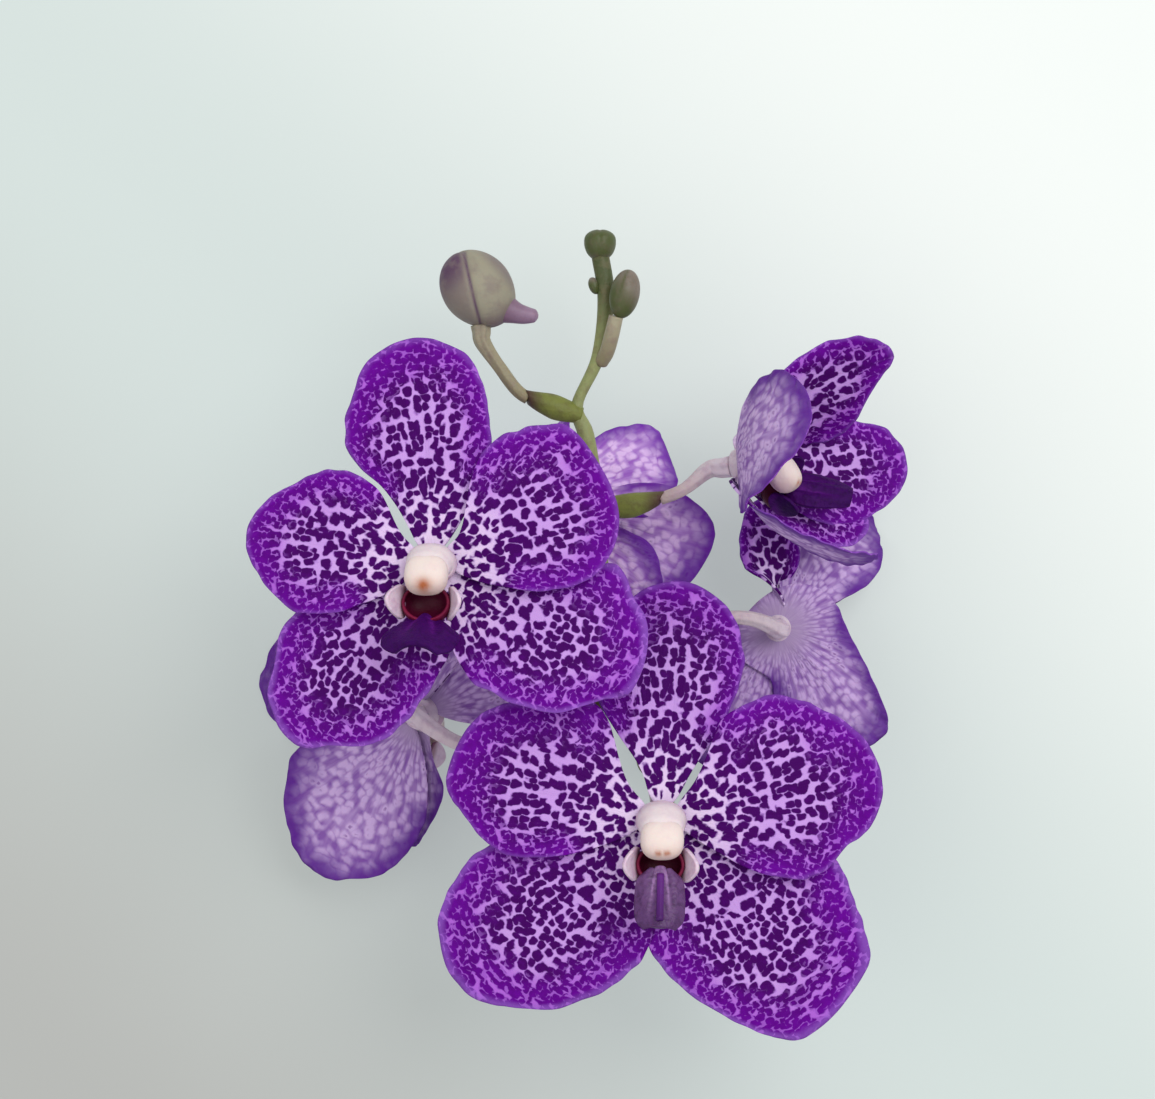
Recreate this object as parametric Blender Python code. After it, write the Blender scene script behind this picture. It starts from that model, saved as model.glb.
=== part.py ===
"""A cut vanda orchid spray that lies on a surface: six spotted blooms, three buds and a slim stem.

Lengths are in millimetres until an object is made, and +Z is up. Three blooms face up or
sideways, and three lie face down under them. Each bloom has its own plane, with +X to its
right, +Y to its top and +Z out of its face.
"""

import math
from dataclasses import dataclass

import bmesh
import bpy
from mathutils import Matrix, Vector

METRES = 0.001
CENTRE = Vector((0.3, -18.7, 0.0))
REST_SNAP = 0.35
SMOOTH_ANGLE = 50.0

# Tepals
TEPAL_THICKNESS = 0.9
TEPAL_START = 3.0
CLAW_WIDTH = 8.0
STATIONS = (0.18, 0.34, 0.50, 0.66, 0.80, 0.92)
SEPAL_DEPTH = -0.8
PETAL_DEPTH = 0.8
FINE_GRID = 7
COARSE_GRID = 6

# Heart of a bloom, in the bloom's own plane
HUB_RADIUS = 5.5
HUB_BACK = -2.5
HUB_FRONT = 2.0
HUB_TAPER = 0.8
HUB_SIDES = 20
SEAT_GAP = 0.3
COLUMN_LINE = ((0, 0, 2.3), (0, 0, 3.3), (0, 0, 5), (0, -2.6, 10))
COLUMN_RADII = (4.7, 4.5, 3.4)
COLUMN_SIDES = 10
ANTHER_CENTRE = (0, -3.6, 10.2)
ANTHER_RADII = (3.2, 3.2, 2.6)
THROAT_CENTRE = (0, -9.8, 6.4)
THROAT_RADII = (5.2, 4.2, 3.9)
SIDE_LOBE_OUT = 5.2
SIDE_LOBE_DOWN = -9.6
SIDE_LOBE_HEIGHT = 8.8
SIDE_LOBE_RADII = (1.3, 3.6, 3.6)
MIDLOBE_ROOT = (0, -11.0, 9.5)
MIDLOBE_REACH = (0, -5.0, 3.2)
MIDLOBE_RADII = (5.2, 7.0, 1.4)
MIDLOBE_TILT = -32.0

# Flower stalks
STALK_RADII = (1.5, 1.7, 2.6)
STALK_SIDES = 12
STALK_RINGS = 9
STALK_TWIST = 60.0
RIDGE_DEPTH = 0.16
APPROACH = (6.0, 2.5, SEAT_GAP)
BRACT_RADII = (2.2, 2.9, 2.2)
BRACT_SIDES = 10

# Stem, in the spray's own place
STEM_ROUTE = (
    (19.3, -93.0, 2.8), (20.3, -84.0, 4.0), (21.1, -66.1, 15.0), (18.0, -48.4, 26.0),
    (10.7, -31.2, 33.0), (6.8, -14.4, 38.0), (4.9, -2.5, 40.0), (5.1, 10.5, 42.0),
    (3.2, 19.9, 42.5), (1.8, 27.7, 43.0), (-0.1, 34.1, 43.5), (4.8, 45.3, 44.0),
    (6.7, 58.7, 45.0), (5.3, 69.5, 45.0),
)
STEM_RADII = (3.1, 3.0, 2.9, 2.7, 2.4, 2.1, 1.9, 1.4, 1.8)
STEM_SIDES = 10
STEM_RINGS = 26
TIP_BUD_CENTRE = (5.3, 71.6, 45.0)
TIP_BUD_RADII = (3.7, 4.0, 3.7)

# Buds
LARGE_BUD_CENTRE = (-23.4, 61.2, 45.0)
LARGE_BUD_RADII = (8.3, 10.0, 8.0)
LARGE_BUD_TILT = 42.0
LARGE_BUD_BRACT = 14.0
LARGE_BUD_STALK_RADII = (1.5, 1.6, 1.9)
LARGE_BUD_ROUTE = (
    (-0.1, 34.1, 43.5), (-6.0, 33.8, 44.0), (-13.1, 36.5, 44.5),
    (-18.2, 42.7, 45.0), (-22.2, 48.6, 45.0), (-22.6, 51.2, 45.0),
)
SPUR_ROUTE = ((-18, 57, 45.5), (-13.5, 55.3, 46), (-9.5, 54.8, 46))
SPUR_RADII = (3.0, 2.0, 0.8)
SMALL_BUD_CENTRE = (11.0, 59.7, 50.7)
SMALL_BUD_RADII = (3.5, 5.8, 3.5)
SMALL_BUD_TILT = -12.0
SMALL_BUD_STALK_RADII = (1.9, 2.3, 1.9)
SMALL_BUD_ROUTE = ((4.8, 44.0, 44.0), (7.0, 47.0, 47.0), (8.6, 50.5, 49.5), (9.6, 53.4, 50.3))


@dataclass(frozen=True)
class Tepal:
    """One blade of a bloom, aimed in the bloom's plane, anticlockwise from its right.

    left and right are its half-widths at STATIONS, as shares of the length from the hub.
    lift is its slope out of the bloom's plane at the hub, bend what the slope gains by
    the tip, and twist its turn about its own midrib, all in degrees. The twist is whole at
    turned_by, a share of the length. start is where the tepal begins along its length, and
    claw how full its root is.
    """

    aim: float
    length: float
    left: tuple
    right: tuple
    lift: float = 0.0
    bend: float = 0.0
    twist: float = 0.0
    cup: float = 0.0
    wave: float = 0.8
    waves: int = 3
    phase: float = 0.0
    depth: float = SEPAL_DEPTH
    start: float = TEPAL_START
    claw: float = CLAW_WIDTH
    turned_by: float = 1.0


@dataclass(frozen=True)
class Bloom:
    """A bloom's hub, its turn about Y from facing up, its tip about X, and its pieces."""

    name: str
    hub: tuple
    turn: float
    pitch: float
    tepals: tuple
    route: tuple
    grid: int = FINE_GRID
    lip_aim: float = -92.0
    lip_size: float = 1.0
    lip_width: float = 1.0
    lip_tilt: float = MIDLOBE_TILT
    bract: float = 12.0

    @property
    def frame(self):
        """The matrix that carries the bloom's own plane to its place in the spray."""
        turned = Matrix.Rotation(math.radians(self.turn), 4, "Y")
        tipped = Matrix.Rotation(math.radians(self.pitch), 4, "X")
        return Matrix.Translation(self.hub) @ turned @ tipped


def scaled(widths, factor):
    """Half-widths made wider or narrower by one factor."""
    return tuple(width * factor for width in widths)


# Half-widths of the usual tepals of a bloom about 90 mm across
SEPAL_SIDE = (6.0, 11.5, 15.5, 16.0, 14.0, 10.0)
PETAL_TOP = (6.0, 15.0, 19.0, 19.0, 16.0, 11.0)
PETAL_FOOT = (6.5, 11.5, 15.0, 16.0, 13.0, 8.5)
LATERAL_IN = (10.0, 15.5, 17.5, 17.0, 14.0, 9.0)
LATERAL_OUT = (7.5, 12.5, 17.0, 18.0, 15.5, 11.0)

BLOOM_A = Bloom(
    name="bloom_a",
    hub=(-32.6, -3.7, 72.0),
    turn=-6.0,
    pitch=-9.0,
    tepals=(
        Tepal(96, 53.5, (5, 9.5, 17, 17.5, 15.5, 11.5), (7, 12.5, 15.5, 15.5, 14, 10.5),
              lift=2, bend=-8, cup=-1.5, phase=0.6),
        Tepal(171, 43.5, (7, 11.5, 14.5, 15.5, 12.5, 7.5), (5.5, 14.5, 18, 17.5, 14, 9.5),
              lift=7, bend=-16, cup=-1.5, phase=2.0, depth=PETAL_DEPTH),
        Tepal(20, 44.0, (4.5, 16, 22, 22.5, 21.5, 18), (6.5, 11, 14, 15.5, 14, 9.5),
              lift=7, bend=-16, cup=-1.5, phase=1.0, depth=PETAL_DEPTH),
        Tepal(-129, 51.5, (12.5, 16.5, 17.5, 17, 13.5, 6), (6.5, 11.5, 18, 18.5, 15, 11),
              lift=-2, bend=-12, cup=-1.5, phase=2.6),
        Tepal(-31, 53.0, (6.5, 9.5, 14.5, 21.5, 17.5, 13), (10, 16, 17.5, 16, 12.5, 5),
              lift=-2, bend=-6, cup=-1.5, wave=1.3, waves=4, phase=0.4),
    ),
    route=((6.6, -12.0, 38.5), (-4.0, -10.0, 44.0), (-20.0, -9.0, 55.0)),
    lip_width=1.45,
    lip_tilt=-62.0,
)

BLOOM_B = Bloom(
    name="bloom_b",
    hub=(19.0, -61.6, 66.0),
    turn=0.0,
    pitch=0.0,
    tepals=(
        Tepal(84, 55.5, (4.6, 11.5, 18, 18.5, 15.5, 11.5), (4.6, 9, 13.5, 15.5, 14.5, 10.5),
              lift=-4, bend=-16, cup=-1.5, phase=1.0),
        Tepal(168, 50.0, (6.5, 11, 14, 15, 12, 7), (6, 19.5, 23, 20.5, 18.5, 14),
              lift=7, bend=-18, cup=-1.5, phase=2.2, depth=PETAL_DEPTH),
        Tepal(10, 51.5, (7, 19, 23.5, 22.5, 18, 12.5), (7.5, 14, 18, 18, 13, 10),
              lift=7, bend=-18, cup=-1.5, phase=0.5, depth=PETAL_DEPTH),
        Tepal(-140, 61.0, (12.5, 20.5, 22, 21, 18, 10.5), (8.5, 13.5, 19, 21, 18.5, 13.5),
              lift=-2, bend=-12, cup=-1.5, phase=1.2),
        Tepal(-55, 61.5, (15, 23, 28, 26.5, 24, 19.5), (11.5, 18.5, 19, 16.5, 13, 8),
              lift=-2, bend=-12, cup=-1.5, phase=2.0),
    ),
    route=((17.6, -48.0, 27.5), (17.0, -52.0, 36.0), (18.5, -58.0, 50.0)),
)

BLOOM_C = Bloom(
    name="bloom_c",
    hub=(38.7, 19.9, 45.0),
    turn=70.0,
    pitch=-8.0,
    tepals=(
        Tepal(70, 48.0, scaled(SEPAL_SIDE, 0.6), (6.6, 12.5, 15.5, 13.5, 9.5, 6.5),
              lift=55, bend=22, twist=-46, wave=1.4, phase=0.5),
        Tepal(172, 43.0, (8.5, 13.5, 16, 16, 13, 8.5), scaled(PETAL_TOP, 0.9),
              lift=20, bend=46, twist=-30, phase=1.0, depth=PETAL_DEPTH),
        Tepal(-6, 48.0, (5, 9, 11.5, 12, 11, 8.5), scaled(PETAL_FOOT, 0.9),
              lift=38, bend=14, phase=1.5, depth=PETAL_DEPTH),
        Tepal(-108, 46.0, (3, 4, 5.5, 8, 9, 7), (11, 13, 12.5, 11.5, 9.5, 6),
              lift=26, bend=60, phase=0.3),
        Tepal(-34, 40.0, scaled(LATERAL_OUT, 0.7), (3, 5.5, 8, 9, 8, 6),
              lift=28, bend=26, phase=2.2),
    ),
    route=((5.1, 10.0, 42.0), (14.0, 10.6, 45.0), (24.0, 13.6, 46.5)),
    lip_aim=-72,
    lip_width=0.8,
    bract=16.0,
)

BLOOM_D = Bloom(
    name="bloom_d",
    hub=(48.6, -19.0, 24.0),
    turn=176.0,
    pitch=0.0,
    tepals=(
        Tepal(84, 33.0, scaled(SEPAL_SIDE, 0.45), scaled(SEPAL_SIDE, 0.45), lift=8, bend=20,
              twist=-168, turned_by=0.4),
        Tepal(126, 46.5, scaled(PETAL_FOOT, 0.75), scaled(PETAL_TOP, 0.9), lift=28, bend=24,
              depth=PETAL_DEPTH),
        Tepal(-14, 44.0, (4, 7, 11, 12, 11, 8), PETAL_TOP, lift=24, bend=26, depth=PETAL_DEPTH),
        Tepal(-68, 40.0, LATERAL_OUT, LATERAL_IN, lift=0.5, bend=22, phase=1.0),
        Tepal(-135, 38.0, (10, 14, 15.5, 14.5, 12, 8), (13.6, 11.5, 9.4, 7.2, 5.4, 3.4),
              lift=0.5, bend=22, phase=2.0, depth=-1.8, start=-8.0, claw=22.0),
    ),
    route=((8.2, -24.0, 35.5), (18.0, -18.0, 43.0), (38.0, -16.0, 44.0)),
    grid=COARSE_GRID,
    lip_aim=-98,
    lip_size=0.8,
)

BLOOM_E = Bloom(
    name="bloom_e",
    hub=(-6.1, 10.5, 30.0),
    turn=160.0,
    pitch=0.0,
    tepals=(
        Tepal(142, 35.0, SEPAL_SIDE, scaled(SEPAL_SIDE, 0.5), lift=30, bend=24),
        Tepal(192, 40.0, PETAL_TOP, scaled(PETAL_FOOT, 0.65), lift=16, bend=14,
              depth=PETAL_DEPTH),
        Tepal(54, 37.5, scaled(PETAL_FOOT, 0.8), PETAL_FOOT, lift=35, bend=46,
              depth=PETAL_DEPTH),
        Tepal(-128, 36.0, scaled(LATERAL_IN, 0.7), scaled(LATERAL_OUT, 0.7), lift=8, bend=20),
        Tepal(-30, 40.0, scaled(LATERAL_OUT, 0.8), scaled(LATERAL_IN, 0.8), lift=26, bend=60),
    ),
    route=((5.1, -4.0, 39.5), (-2.0, -6.0, 45.0), (-6.5, 2.0, 45.0)),
    grid=COARSE_GRID,
    lip_aim=-79,
    lip_size=0.8,
)

BLOOM_F = Bloom(
    name="bloom_f",
    hub=(-38.2, -39.9, 25.0),
    turn=176.0,
    pitch=0.0,
    tepals=(
        Tepal(88, 44.0, SEPAL_SIDE, SEPAL_SIDE, lift=22, bend=20),
        Tepal(150, 42.0, PETAL_FOOT, PETAL_TOP, lift=10, bend=20, depth=PETAL_DEPTH),
        Tepal(14, 54.5, PETAL_TOP, PETAL_FOOT, lift=28, bend=20, depth=PETAL_DEPTH),
        Tepal(-85, 34.0, LATERAL_OUT, (3, 4.5, 7, 6.5, 4.5, 2.5), lift=3.5, bend=22, depth=0.2),
        Tepal(-55, 48.5, (9, 16, 19.5, 18, 14.5, 9.5), (8, 14, 16.5, 16.5, 14, 8),
              lift=0.5, bend=22, depth=-1.4),
    ),
    route=((11.5, -33.0, 32.5), (-2.0, -40.0, 40.0), (-24.0, -46.5, 43.0)),
    grid=COARSE_GRID,
    lip_aim=-70,
    lip_size=0.8,
)

BLOOMS = (BLOOM_A, BLOOM_B, BLOOM_C, BLOOM_D, BLOOM_E, BLOOM_F)


@dataclass(frozen=True)
class Finish:
    """A surface's colour as linear red, green and blue, with its roughness."""

    colour: tuple
    roughness: float = 0.6


FINISHES = {
    "tepals": Finish((0.19, 0.05, 0.40)),
    "column": Finish((0.82, 0.68, 0.74)),
    "lip": Finish((0.09, 0.02, 0.14)),
    "stalk": Finish((0.70, 0.58, 0.64)),
    "stem": Finish((0.22, 0.25, 0.09)),
    "bud": Finish((0.32, 0.29, 0.24)),
}


def clear_scene():
    """Remove every object that the file starts with."""
    for thing in list(bpy.data.objects):
        bpy.data.objects.remove(thing)


def hermite(xs, ys, x):
    """A smooth value at x through the points of xs and ys, level beyond their ends."""
    if x <= xs[0]:
        return ys[0]
    if x >= xs[-1]:
        return ys[-1]
    last = len(xs) - 1
    i = max(k for k in range(last) if xs[k] <= x)
    span = xs[i + 1] - xs[i]
    before, after = max(i - 1, 0), min(i + 2, last)
    slope_in = (ys[i + 1] - ys[before]) / (xs[i + 1] - xs[before]) * span
    slope_out = (ys[after] - ys[i]) / (xs[after] - xs[i]) * span
    s = (x - xs[i]) / span
    return (
        ys[i] * (2 * s**3 - 3 * s**2 + 1)
        + slope_in * (s**3 - 2 * s**2 + s)
        + ys[i + 1] * (3 * s**2 - 2 * s**3)
        + slope_out * (s**3 - s**2)
    )


def fullness(tepal, widths):
    """Widths at the stations as multiples of an ellipse, with the claw's width before them."""
    body = tepal.length - tepal.start
    shares = [(share * tepal.length - tepal.start) / body for share in STATIONS]
    full = [w / (2 * math.sqrt(s * (1 - s))) for w, s in zip(widths, shares)]
    return [0.0] + shares, [tepal.claw] + full


def midrib(tepal, along):
    """Reach and rise of the midrib, and its slope, at a length from the hub's middle."""
    free = along - HUB_RADIUS
    if free <= 0:
        return along, 0.0, 0.0
    lift, bend = math.radians(tepal.lift), math.radians(tepal.bend)
    turn = (tepal.length - HUB_RADIUS) / bend
    slope = lift + free / turn
    reach = turn * (math.sin(slope) - math.sin(lift))
    rise = turn * (math.cos(lift) - math.cos(slope))
    return HUB_RADIUS + reach, rise, slope


def tepal_point(tepal, sides, x, y):
    """Carry a point of the square from -1 to 1 to its place on the tepal."""
    u = x * math.sqrt(1 - y * y / 2)
    v = y * math.sqrt(1 - x * x / 2)
    share = (1 + u) / 2
    along = tepal.start + (tepal.length - tepal.start) * share
    full = hermite(*sides[0 if v > 0 else 1], share)
    across = v * full
    reach, rise, slope = midrib(tepal, along)
    rim = min(1.0, math.hypot(u, v))
    ripple = tepal.wave * rim**3 * share * math.sin(tepal.waves * math.atan2(v, u) + tepal.phase)
    off = tepal.cup * v * v * share + ripple
    turn = math.radians(tepal.twist) * min(1.0, share / tepal.turned_by)
    side = across * math.cos(turn) - off * math.sin(turn)
    out = across * math.sin(turn) + off * math.cos(turn)
    point = Vector((reach - out * math.sin(slope), side, rise + out * math.cos(slope)))
    point.z += tepal.depth
    return Matrix.Rotation(math.radians(tepal.aim), 3, "Z") @ point


def tepal_solid(tepal, frame, grid):
    """A tepal as a thin closed blade, lying flat where it meets the surface."""
    sides = (fullness(tepal, tepal.left), fullness(tepal, tepal.right))
    bm = bmesh.new()
    bmesh.ops.create_grid(bm, x_segments=grid, y_segments=grid, size=1.0)
    for vert in bm.verts:
        vert.co = frame @ tepal_point(tepal, sides, vert.co.x, vert.co.y)
        vert.co.z = max(vert.co.z, TEPAL_THICKNESS / 2)
    bmesh.ops.triangulate(bm, faces=bm.faces[:])
    bmesh.ops.recalc_face_normals(bm, faces=bm.faces[:])
    bm.normal_update()
    for vert in bm.verts:
        vert.co -= vert.normal * TEPAL_THICKNESS / 2
    bmesh.ops.solidify(bm, geom=bm.faces[:], thickness=-TEPAL_THICKNESS)
    bmesh.ops.recalc_face_normals(bm, faces=bm.faces[:])
    return bm


def smooth_route(points, per_span=8):
    """Points along a smooth curve through the route's own points."""
    points = [Vector(point) for point in points]
    ends = [points[0] * 2 - points[1]] + points + [points[-1] * 2 - points[-2]]
    curve = []
    for a, b, c, d in zip(ends, ends[1:], ends[2:], ends[3:]):
        for step in range(per_span):
            s = step / per_span
            straight = b * 2 + (c - a) * s
            bent = (a * 2 - b * 5 + c * 4 - d) * s**2 + (b * 3 - a - c * 3 + d) * s**3
            curve.append((straight + bent) / 2)
    return curve + [points[-1]]


def route_length(curve):
    """The length of a curve in millimetres."""
    return sum((b - a).length for a, b in zip(curve, curve[1:]))


def route_point(curve, wanted):
    """The point that lies a wanted length along a curve."""
    for a, b in zip(curve, curve[1:]):
        step = (b - a).length
        if wanted <= step:
            return a.lerp(b, wanted / step)
        wanted -= step
    return curve[-1] + (curve[-1] - curve[-2]).normalized() * wanted


def ring_frames(curve, radii, start, end, count, twist=0.0):
    """A matrix for each ring of a tube along part of a curve: place, heading and radius."""
    frames = []
    old = (route_point(curve, start + 0.5) - route_point(curve, start - 0.5)).normalized()
    turn = Vector((0, 0, 1)).rotation_difference(old)
    shares = [k / (len(radii) - 1) for k in range(len(radii))]
    for ring in range(count):
        share = ring / (count - 1)
        at = start + (end - start) * share
        heading = (route_point(curve, at + 0.5) - route_point(curve, at - 0.5)).normalized()
        turn = old.rotation_difference(heading) @ turn
        old = heading
        radius = hermite(shares, radii, share)
        place = Matrix.Translation(route_point(curve, at)) @ turn.to_matrix().to_4x4()
        spin = Matrix.Rotation(math.radians(twist) * share, 4, "Z")
        frames.append(place @ spin @ Matrix.Diagonal((radius, radius, 1.0, 1.0)))
    return frames


def tube(frames, sides, ridge=0.0):
    """A closed tube through ring frames, ridged where every other side is drawn in."""
    bm = bmesh.new()
    bmesh.ops.create_circle(bm, cap_ends=True, segments=sides, radius=1.0)
    for i, vert in enumerate(bm.verts):
        vert.co *= 1 - ridge * (i % 2)
    bmesh.ops.transform(bm, matrix=frames[0], verts=bm.verts[:])
    cap = bm.faces[:] + bm.edges[:] + bm.verts[:]
    for here, there in zip(frames, frames[1:]):
        cap = bmesh.ops.extrude_face_region(bm, geom=cap)["geom"]
        verts = [item for item in cap if isinstance(item, bmesh.types.BMVert)]
        bmesh.ops.transform(bm, matrix=there @ here.inverted(), verts=verts)
    bmesh.ops.recalc_face_normals(bm, faces=bm.faces[:])
    return bm


def ball(centre, radii, frame=Matrix(), tilt=0.0, axis="X", rings=6, sides=10):
    """An ellipsoid, tilted about one of its own axes and placed in a frame."""
    bm = bmesh.new()
    place = Matrix.Translation(centre) @ Matrix.Rotation(math.radians(tilt), 4, axis)
    shape = frame @ place @ Matrix.Diagonal((*radii, 1.0))
    bmesh.ops.create_uvsphere(bm, u_segments=sides, v_segments=rings, radius=1.0, matrix=shape)
    bmesh.ops.recalc_face_normals(bm, faces=bm.faces[:])
    return bm


def hub_solid(frame):
    """The short round hub that the tepals grow from."""
    bm = bmesh.new()
    middle = Matrix.Translation((0, 0, (HUB_FRONT + HUB_BACK) / 2))
    bmesh.ops.create_cone(
        bm, cap_ends=True, segments=HUB_SIDES, radius1=HUB_RADIUS * HUB_TAPER,
        radius2=HUB_RADIUS, depth=HUB_FRONT - HUB_BACK, matrix=frame @ middle,
    )
    bmesh.ops.recalc_face_normals(bm, faces=bm.faces[:])
    return bm


def loose_object(name, bm):
    """An object from a bmesh, still in millimetres."""
    mesh = bpy.data.meshes.new(name)
    bm.to_mesh(mesh)
    bm.free()
    thing = bpy.data.objects.new(name, mesh)
    bpy.context.scene.collection.objects.link(thing)
    return thing


def joined(name, solids):
    """One closed body from overlapping solids, by a Boolean union on a collection."""
    base = loose_object(name, solids[0])
    if len(solids) == 1:
        return base
    group = bpy.data.collections.new(name + "_parts")
    bpy.context.scene.collection.children.link(group)
    parts = [loose_object(f"{name}_{i}", solid) for i, solid in enumerate(solids[1:])]
    for part in parts:
        bpy.context.scene.collection.objects.unlink(part)
        group.objects.link(part)
    union = base.modifiers.new("union", "BOOLEAN")
    union.operation = "UNION"
    union.operand_type = "COLLECTION"
    union.collection = group
    union.solver = "EXACT"
    shown = base.evaluated_get(bpy.context.evaluated_depsgraph_get())
    mesh = bpy.data.meshes.new_from_object(shown)
    base.modifiers.remove(union)
    base.data = mesh
    for part in parts:
        bpy.data.objects.remove(part)
    bpy.data.collections.remove(group)
    return base


def material(kind):
    """The Principled material of one kind of tissue."""
    made = bpy.data.materials.get(kind)
    if made:
        return made
    finish = FINISHES[kind]
    made = bpy.data.materials.new(kind)
    made.use_nodes = True
    shader = made.node_tree.nodes["Principled BSDF"]
    shader.inputs["Base Color"].default_value = (*finish.colour, 1.0)
    shader.inputs["Roughness"].default_value = finish.roughness
    shader.inputs["Metallic"].default_value = 0.0
    return made


def finished(name, kind, solids):
    """Join solids under a name, give them their material and set them in metres."""
    thing = joined(name, solids)
    mesh = thing.data
    mesh.name = name
    for vert in mesh.vertices:
        if vert.co.z < REST_SNAP:
            vert.co.z = 0.0
    mesh.transform(Matrix.Scale(METRES, 4) @ Matrix.Translation(-CENTRE))
    mesh.materials.clear()
    mesh.materials.append(material(kind))
    mesh.shade_smooth()
    mesh.set_sharp_from_angle(angle=math.radians(SMOOTH_ANGLE))
    return thing


def build_column(bloom):
    """The pale column, which leans forward and down, with its anther cap."""
    curve = smooth_route(COLUMN_LINE)
    rings = ring_frames(curve, COLUMN_RADII, 0.0, route_length(curve), 4)
    column = tube([bloom.frame @ ring for ring in rings], COLUMN_SIDES)
    cap = ball(ANTHER_CENTRE, ANTHER_RADII, bloom.frame, rings=5, sides=8)
    finished(f"{bloom.name}_column", "column", [column, cap])


def build_lip(bloom):
    """The lip: a pouched throat between two side lobes, and a midlobe that hangs forward."""
    frame = bloom.frame @ Matrix.Rotation(math.radians(bloom.lip_aim + 90), 4, "Z")
    solids = [ball(THROAT_CENTRE, THROAT_RADII, frame, sides=8)]
    for side in (-1, 1):
        centre = (side * SIDE_LOBE_OUT, SIDE_LOBE_DOWN, SIDE_LOBE_HEIGHT)
        solids.append(ball(centre, SIDE_LOBE_RADII, frame, rings=5, sides=6))
    centre = Vector(MIDLOBE_ROOT) + Vector(MIDLOBE_REACH) * bloom.lip_size
    wide, long, thick = MIDLOBE_RADII
    radii = (wide * bloom.lip_width, long * bloom.lip_size, thick)
    solids.append(ball(centre, radii, frame, bloom.lip_tilt))
    finished(f"{bloom.name}_lip", "lip", solids)


def bloom_route(bloom):
    """The stalk's smooth line, from the stem to the flat back of the hub."""
    ends = [bloom.frame @ Vector((0, 0, HUB_BACK - behind)) for behind in APPROACH]
    return smooth_route(list(bloom.route) + ends)


def ridged_stalk(name, curve, radii, start):
    """A ridged stalk along a curve, from the end of its bract to the curve's end."""
    rings = ring_frames(
        curve, radii, start + SEAT_GAP, route_length(curve), STALK_RINGS, STALK_TWIST
    )
    finished(name, "stalk", [tube(rings, STALK_SIDES, RIDGE_DEPTH)])


def bract_tube(curve, length):
    """The sheath at the foot of a stalk, rooted in the stem."""
    return tube(ring_frames(curve, BRACT_RADII, 0.0, length, 4), BRACT_SIDES)


def build_bloom(bloom):
    """A whole bloom: its tepals in one body, then its column, lip and stalk."""
    solids = [hub_solid(bloom.frame)]
    solids += [tepal_solid(tepal, bloom.frame, bloom.grid) for tepal in bloom.tepals]
    finished(f"{bloom.name}_tepals", "tepals", solids)
    build_column(bloom)
    build_lip(bloom)
    ridged_stalk(f"{bloom.name}_stalk", bloom_route(bloom), STALK_RADII, bloom.bract)


def build_large_bud():
    """The large bud, with the short spur at its foot, on its stalk."""
    body = ball(
        LARGE_BUD_CENTRE, LARGE_BUD_RADII, tilt=LARGE_BUD_TILT, axis="Z", rings=8, sides=12
    )
    spur = smooth_route(SPUR_ROUTE)
    rings = ring_frames(spur, SPUR_RADII, 0.0, route_length(spur), 4)
    finished("large_bud", "bud", [body, tube(rings, 8)])
    curve = smooth_route(LARGE_BUD_ROUTE)
    ridged_stalk("large_bud_stalk", curve, LARGE_BUD_STALK_RADII, LARGE_BUD_BRACT)


def build_stem():
    """The stem with its bracts, the small bud's stalk and the blunt bud at its tip."""
    curve = smooth_route(STEM_ROUTE)
    rings = ring_frames(curve, STEM_RADII, 0.0, route_length(curve), STEM_RINGS)
    solids = [tube(rings, STEM_SIDES)]
    solids += [bract_tube(bloom_route(bloom), bloom.bract) for bloom in BLOOMS]
    solids.append(bract_tube(smooth_route(LARGE_BUD_ROUTE), LARGE_BUD_BRACT))
    short = smooth_route(SMALL_BUD_ROUTE)
    solids.append(tube(ring_frames(short, SMALL_BUD_STALK_RADII, 0.0, route_length(short), 5), 8))
    solids.append(ball(TIP_BUD_CENTRE, TIP_BUD_RADII))
    finished("flower_stem", "stem", solids)
    small = ball(SMALL_BUD_CENTRE, SMALL_BUD_RADII, tilt=SMALL_BUD_TILT, axis="Z")
    finished("small_bud", "bud", [small])


def main():
    """Build the whole spray."""
    clear_scene()
    for bloom in BLOOMS:
        build_bloom(bloom)
    build_large_bud()
    build_stem()


main()
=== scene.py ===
"""The looks of a cut vanda orchid spray: spotted blooms, buds, ridged stalks and a green stem.

Shapes are worked out in millimetres, in the spray's own place, and set in metres last. A bloom
has its own plane, with +X to its right, +Y to its top and +Z out of its face.
"""

import logging
import math
from dataclasses import dataclass
from enum import Enum
from typing import Callable, Sequence

import bmesh
import bpy
from mathutils import Matrix, Vector, noise


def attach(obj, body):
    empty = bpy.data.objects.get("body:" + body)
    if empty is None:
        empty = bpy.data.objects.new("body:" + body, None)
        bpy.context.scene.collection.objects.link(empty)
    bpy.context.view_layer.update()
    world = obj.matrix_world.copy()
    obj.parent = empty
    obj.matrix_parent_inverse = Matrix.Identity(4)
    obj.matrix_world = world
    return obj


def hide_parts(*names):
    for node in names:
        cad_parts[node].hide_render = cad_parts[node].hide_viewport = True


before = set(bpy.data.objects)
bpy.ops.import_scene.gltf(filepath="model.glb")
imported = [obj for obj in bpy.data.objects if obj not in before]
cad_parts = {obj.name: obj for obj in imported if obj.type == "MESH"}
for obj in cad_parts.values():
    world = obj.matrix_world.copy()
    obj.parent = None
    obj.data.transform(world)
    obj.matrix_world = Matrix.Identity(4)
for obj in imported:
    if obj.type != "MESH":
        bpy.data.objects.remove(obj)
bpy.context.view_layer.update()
LOG = logging.getLogger("orchid")

Colour = tuple[float, float, float]
Point = tuple[float, float, float]
Widths = tuple[float, ...]
Mesh = bmesh.types.BMesh
Material = bpy.types.Material

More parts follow.
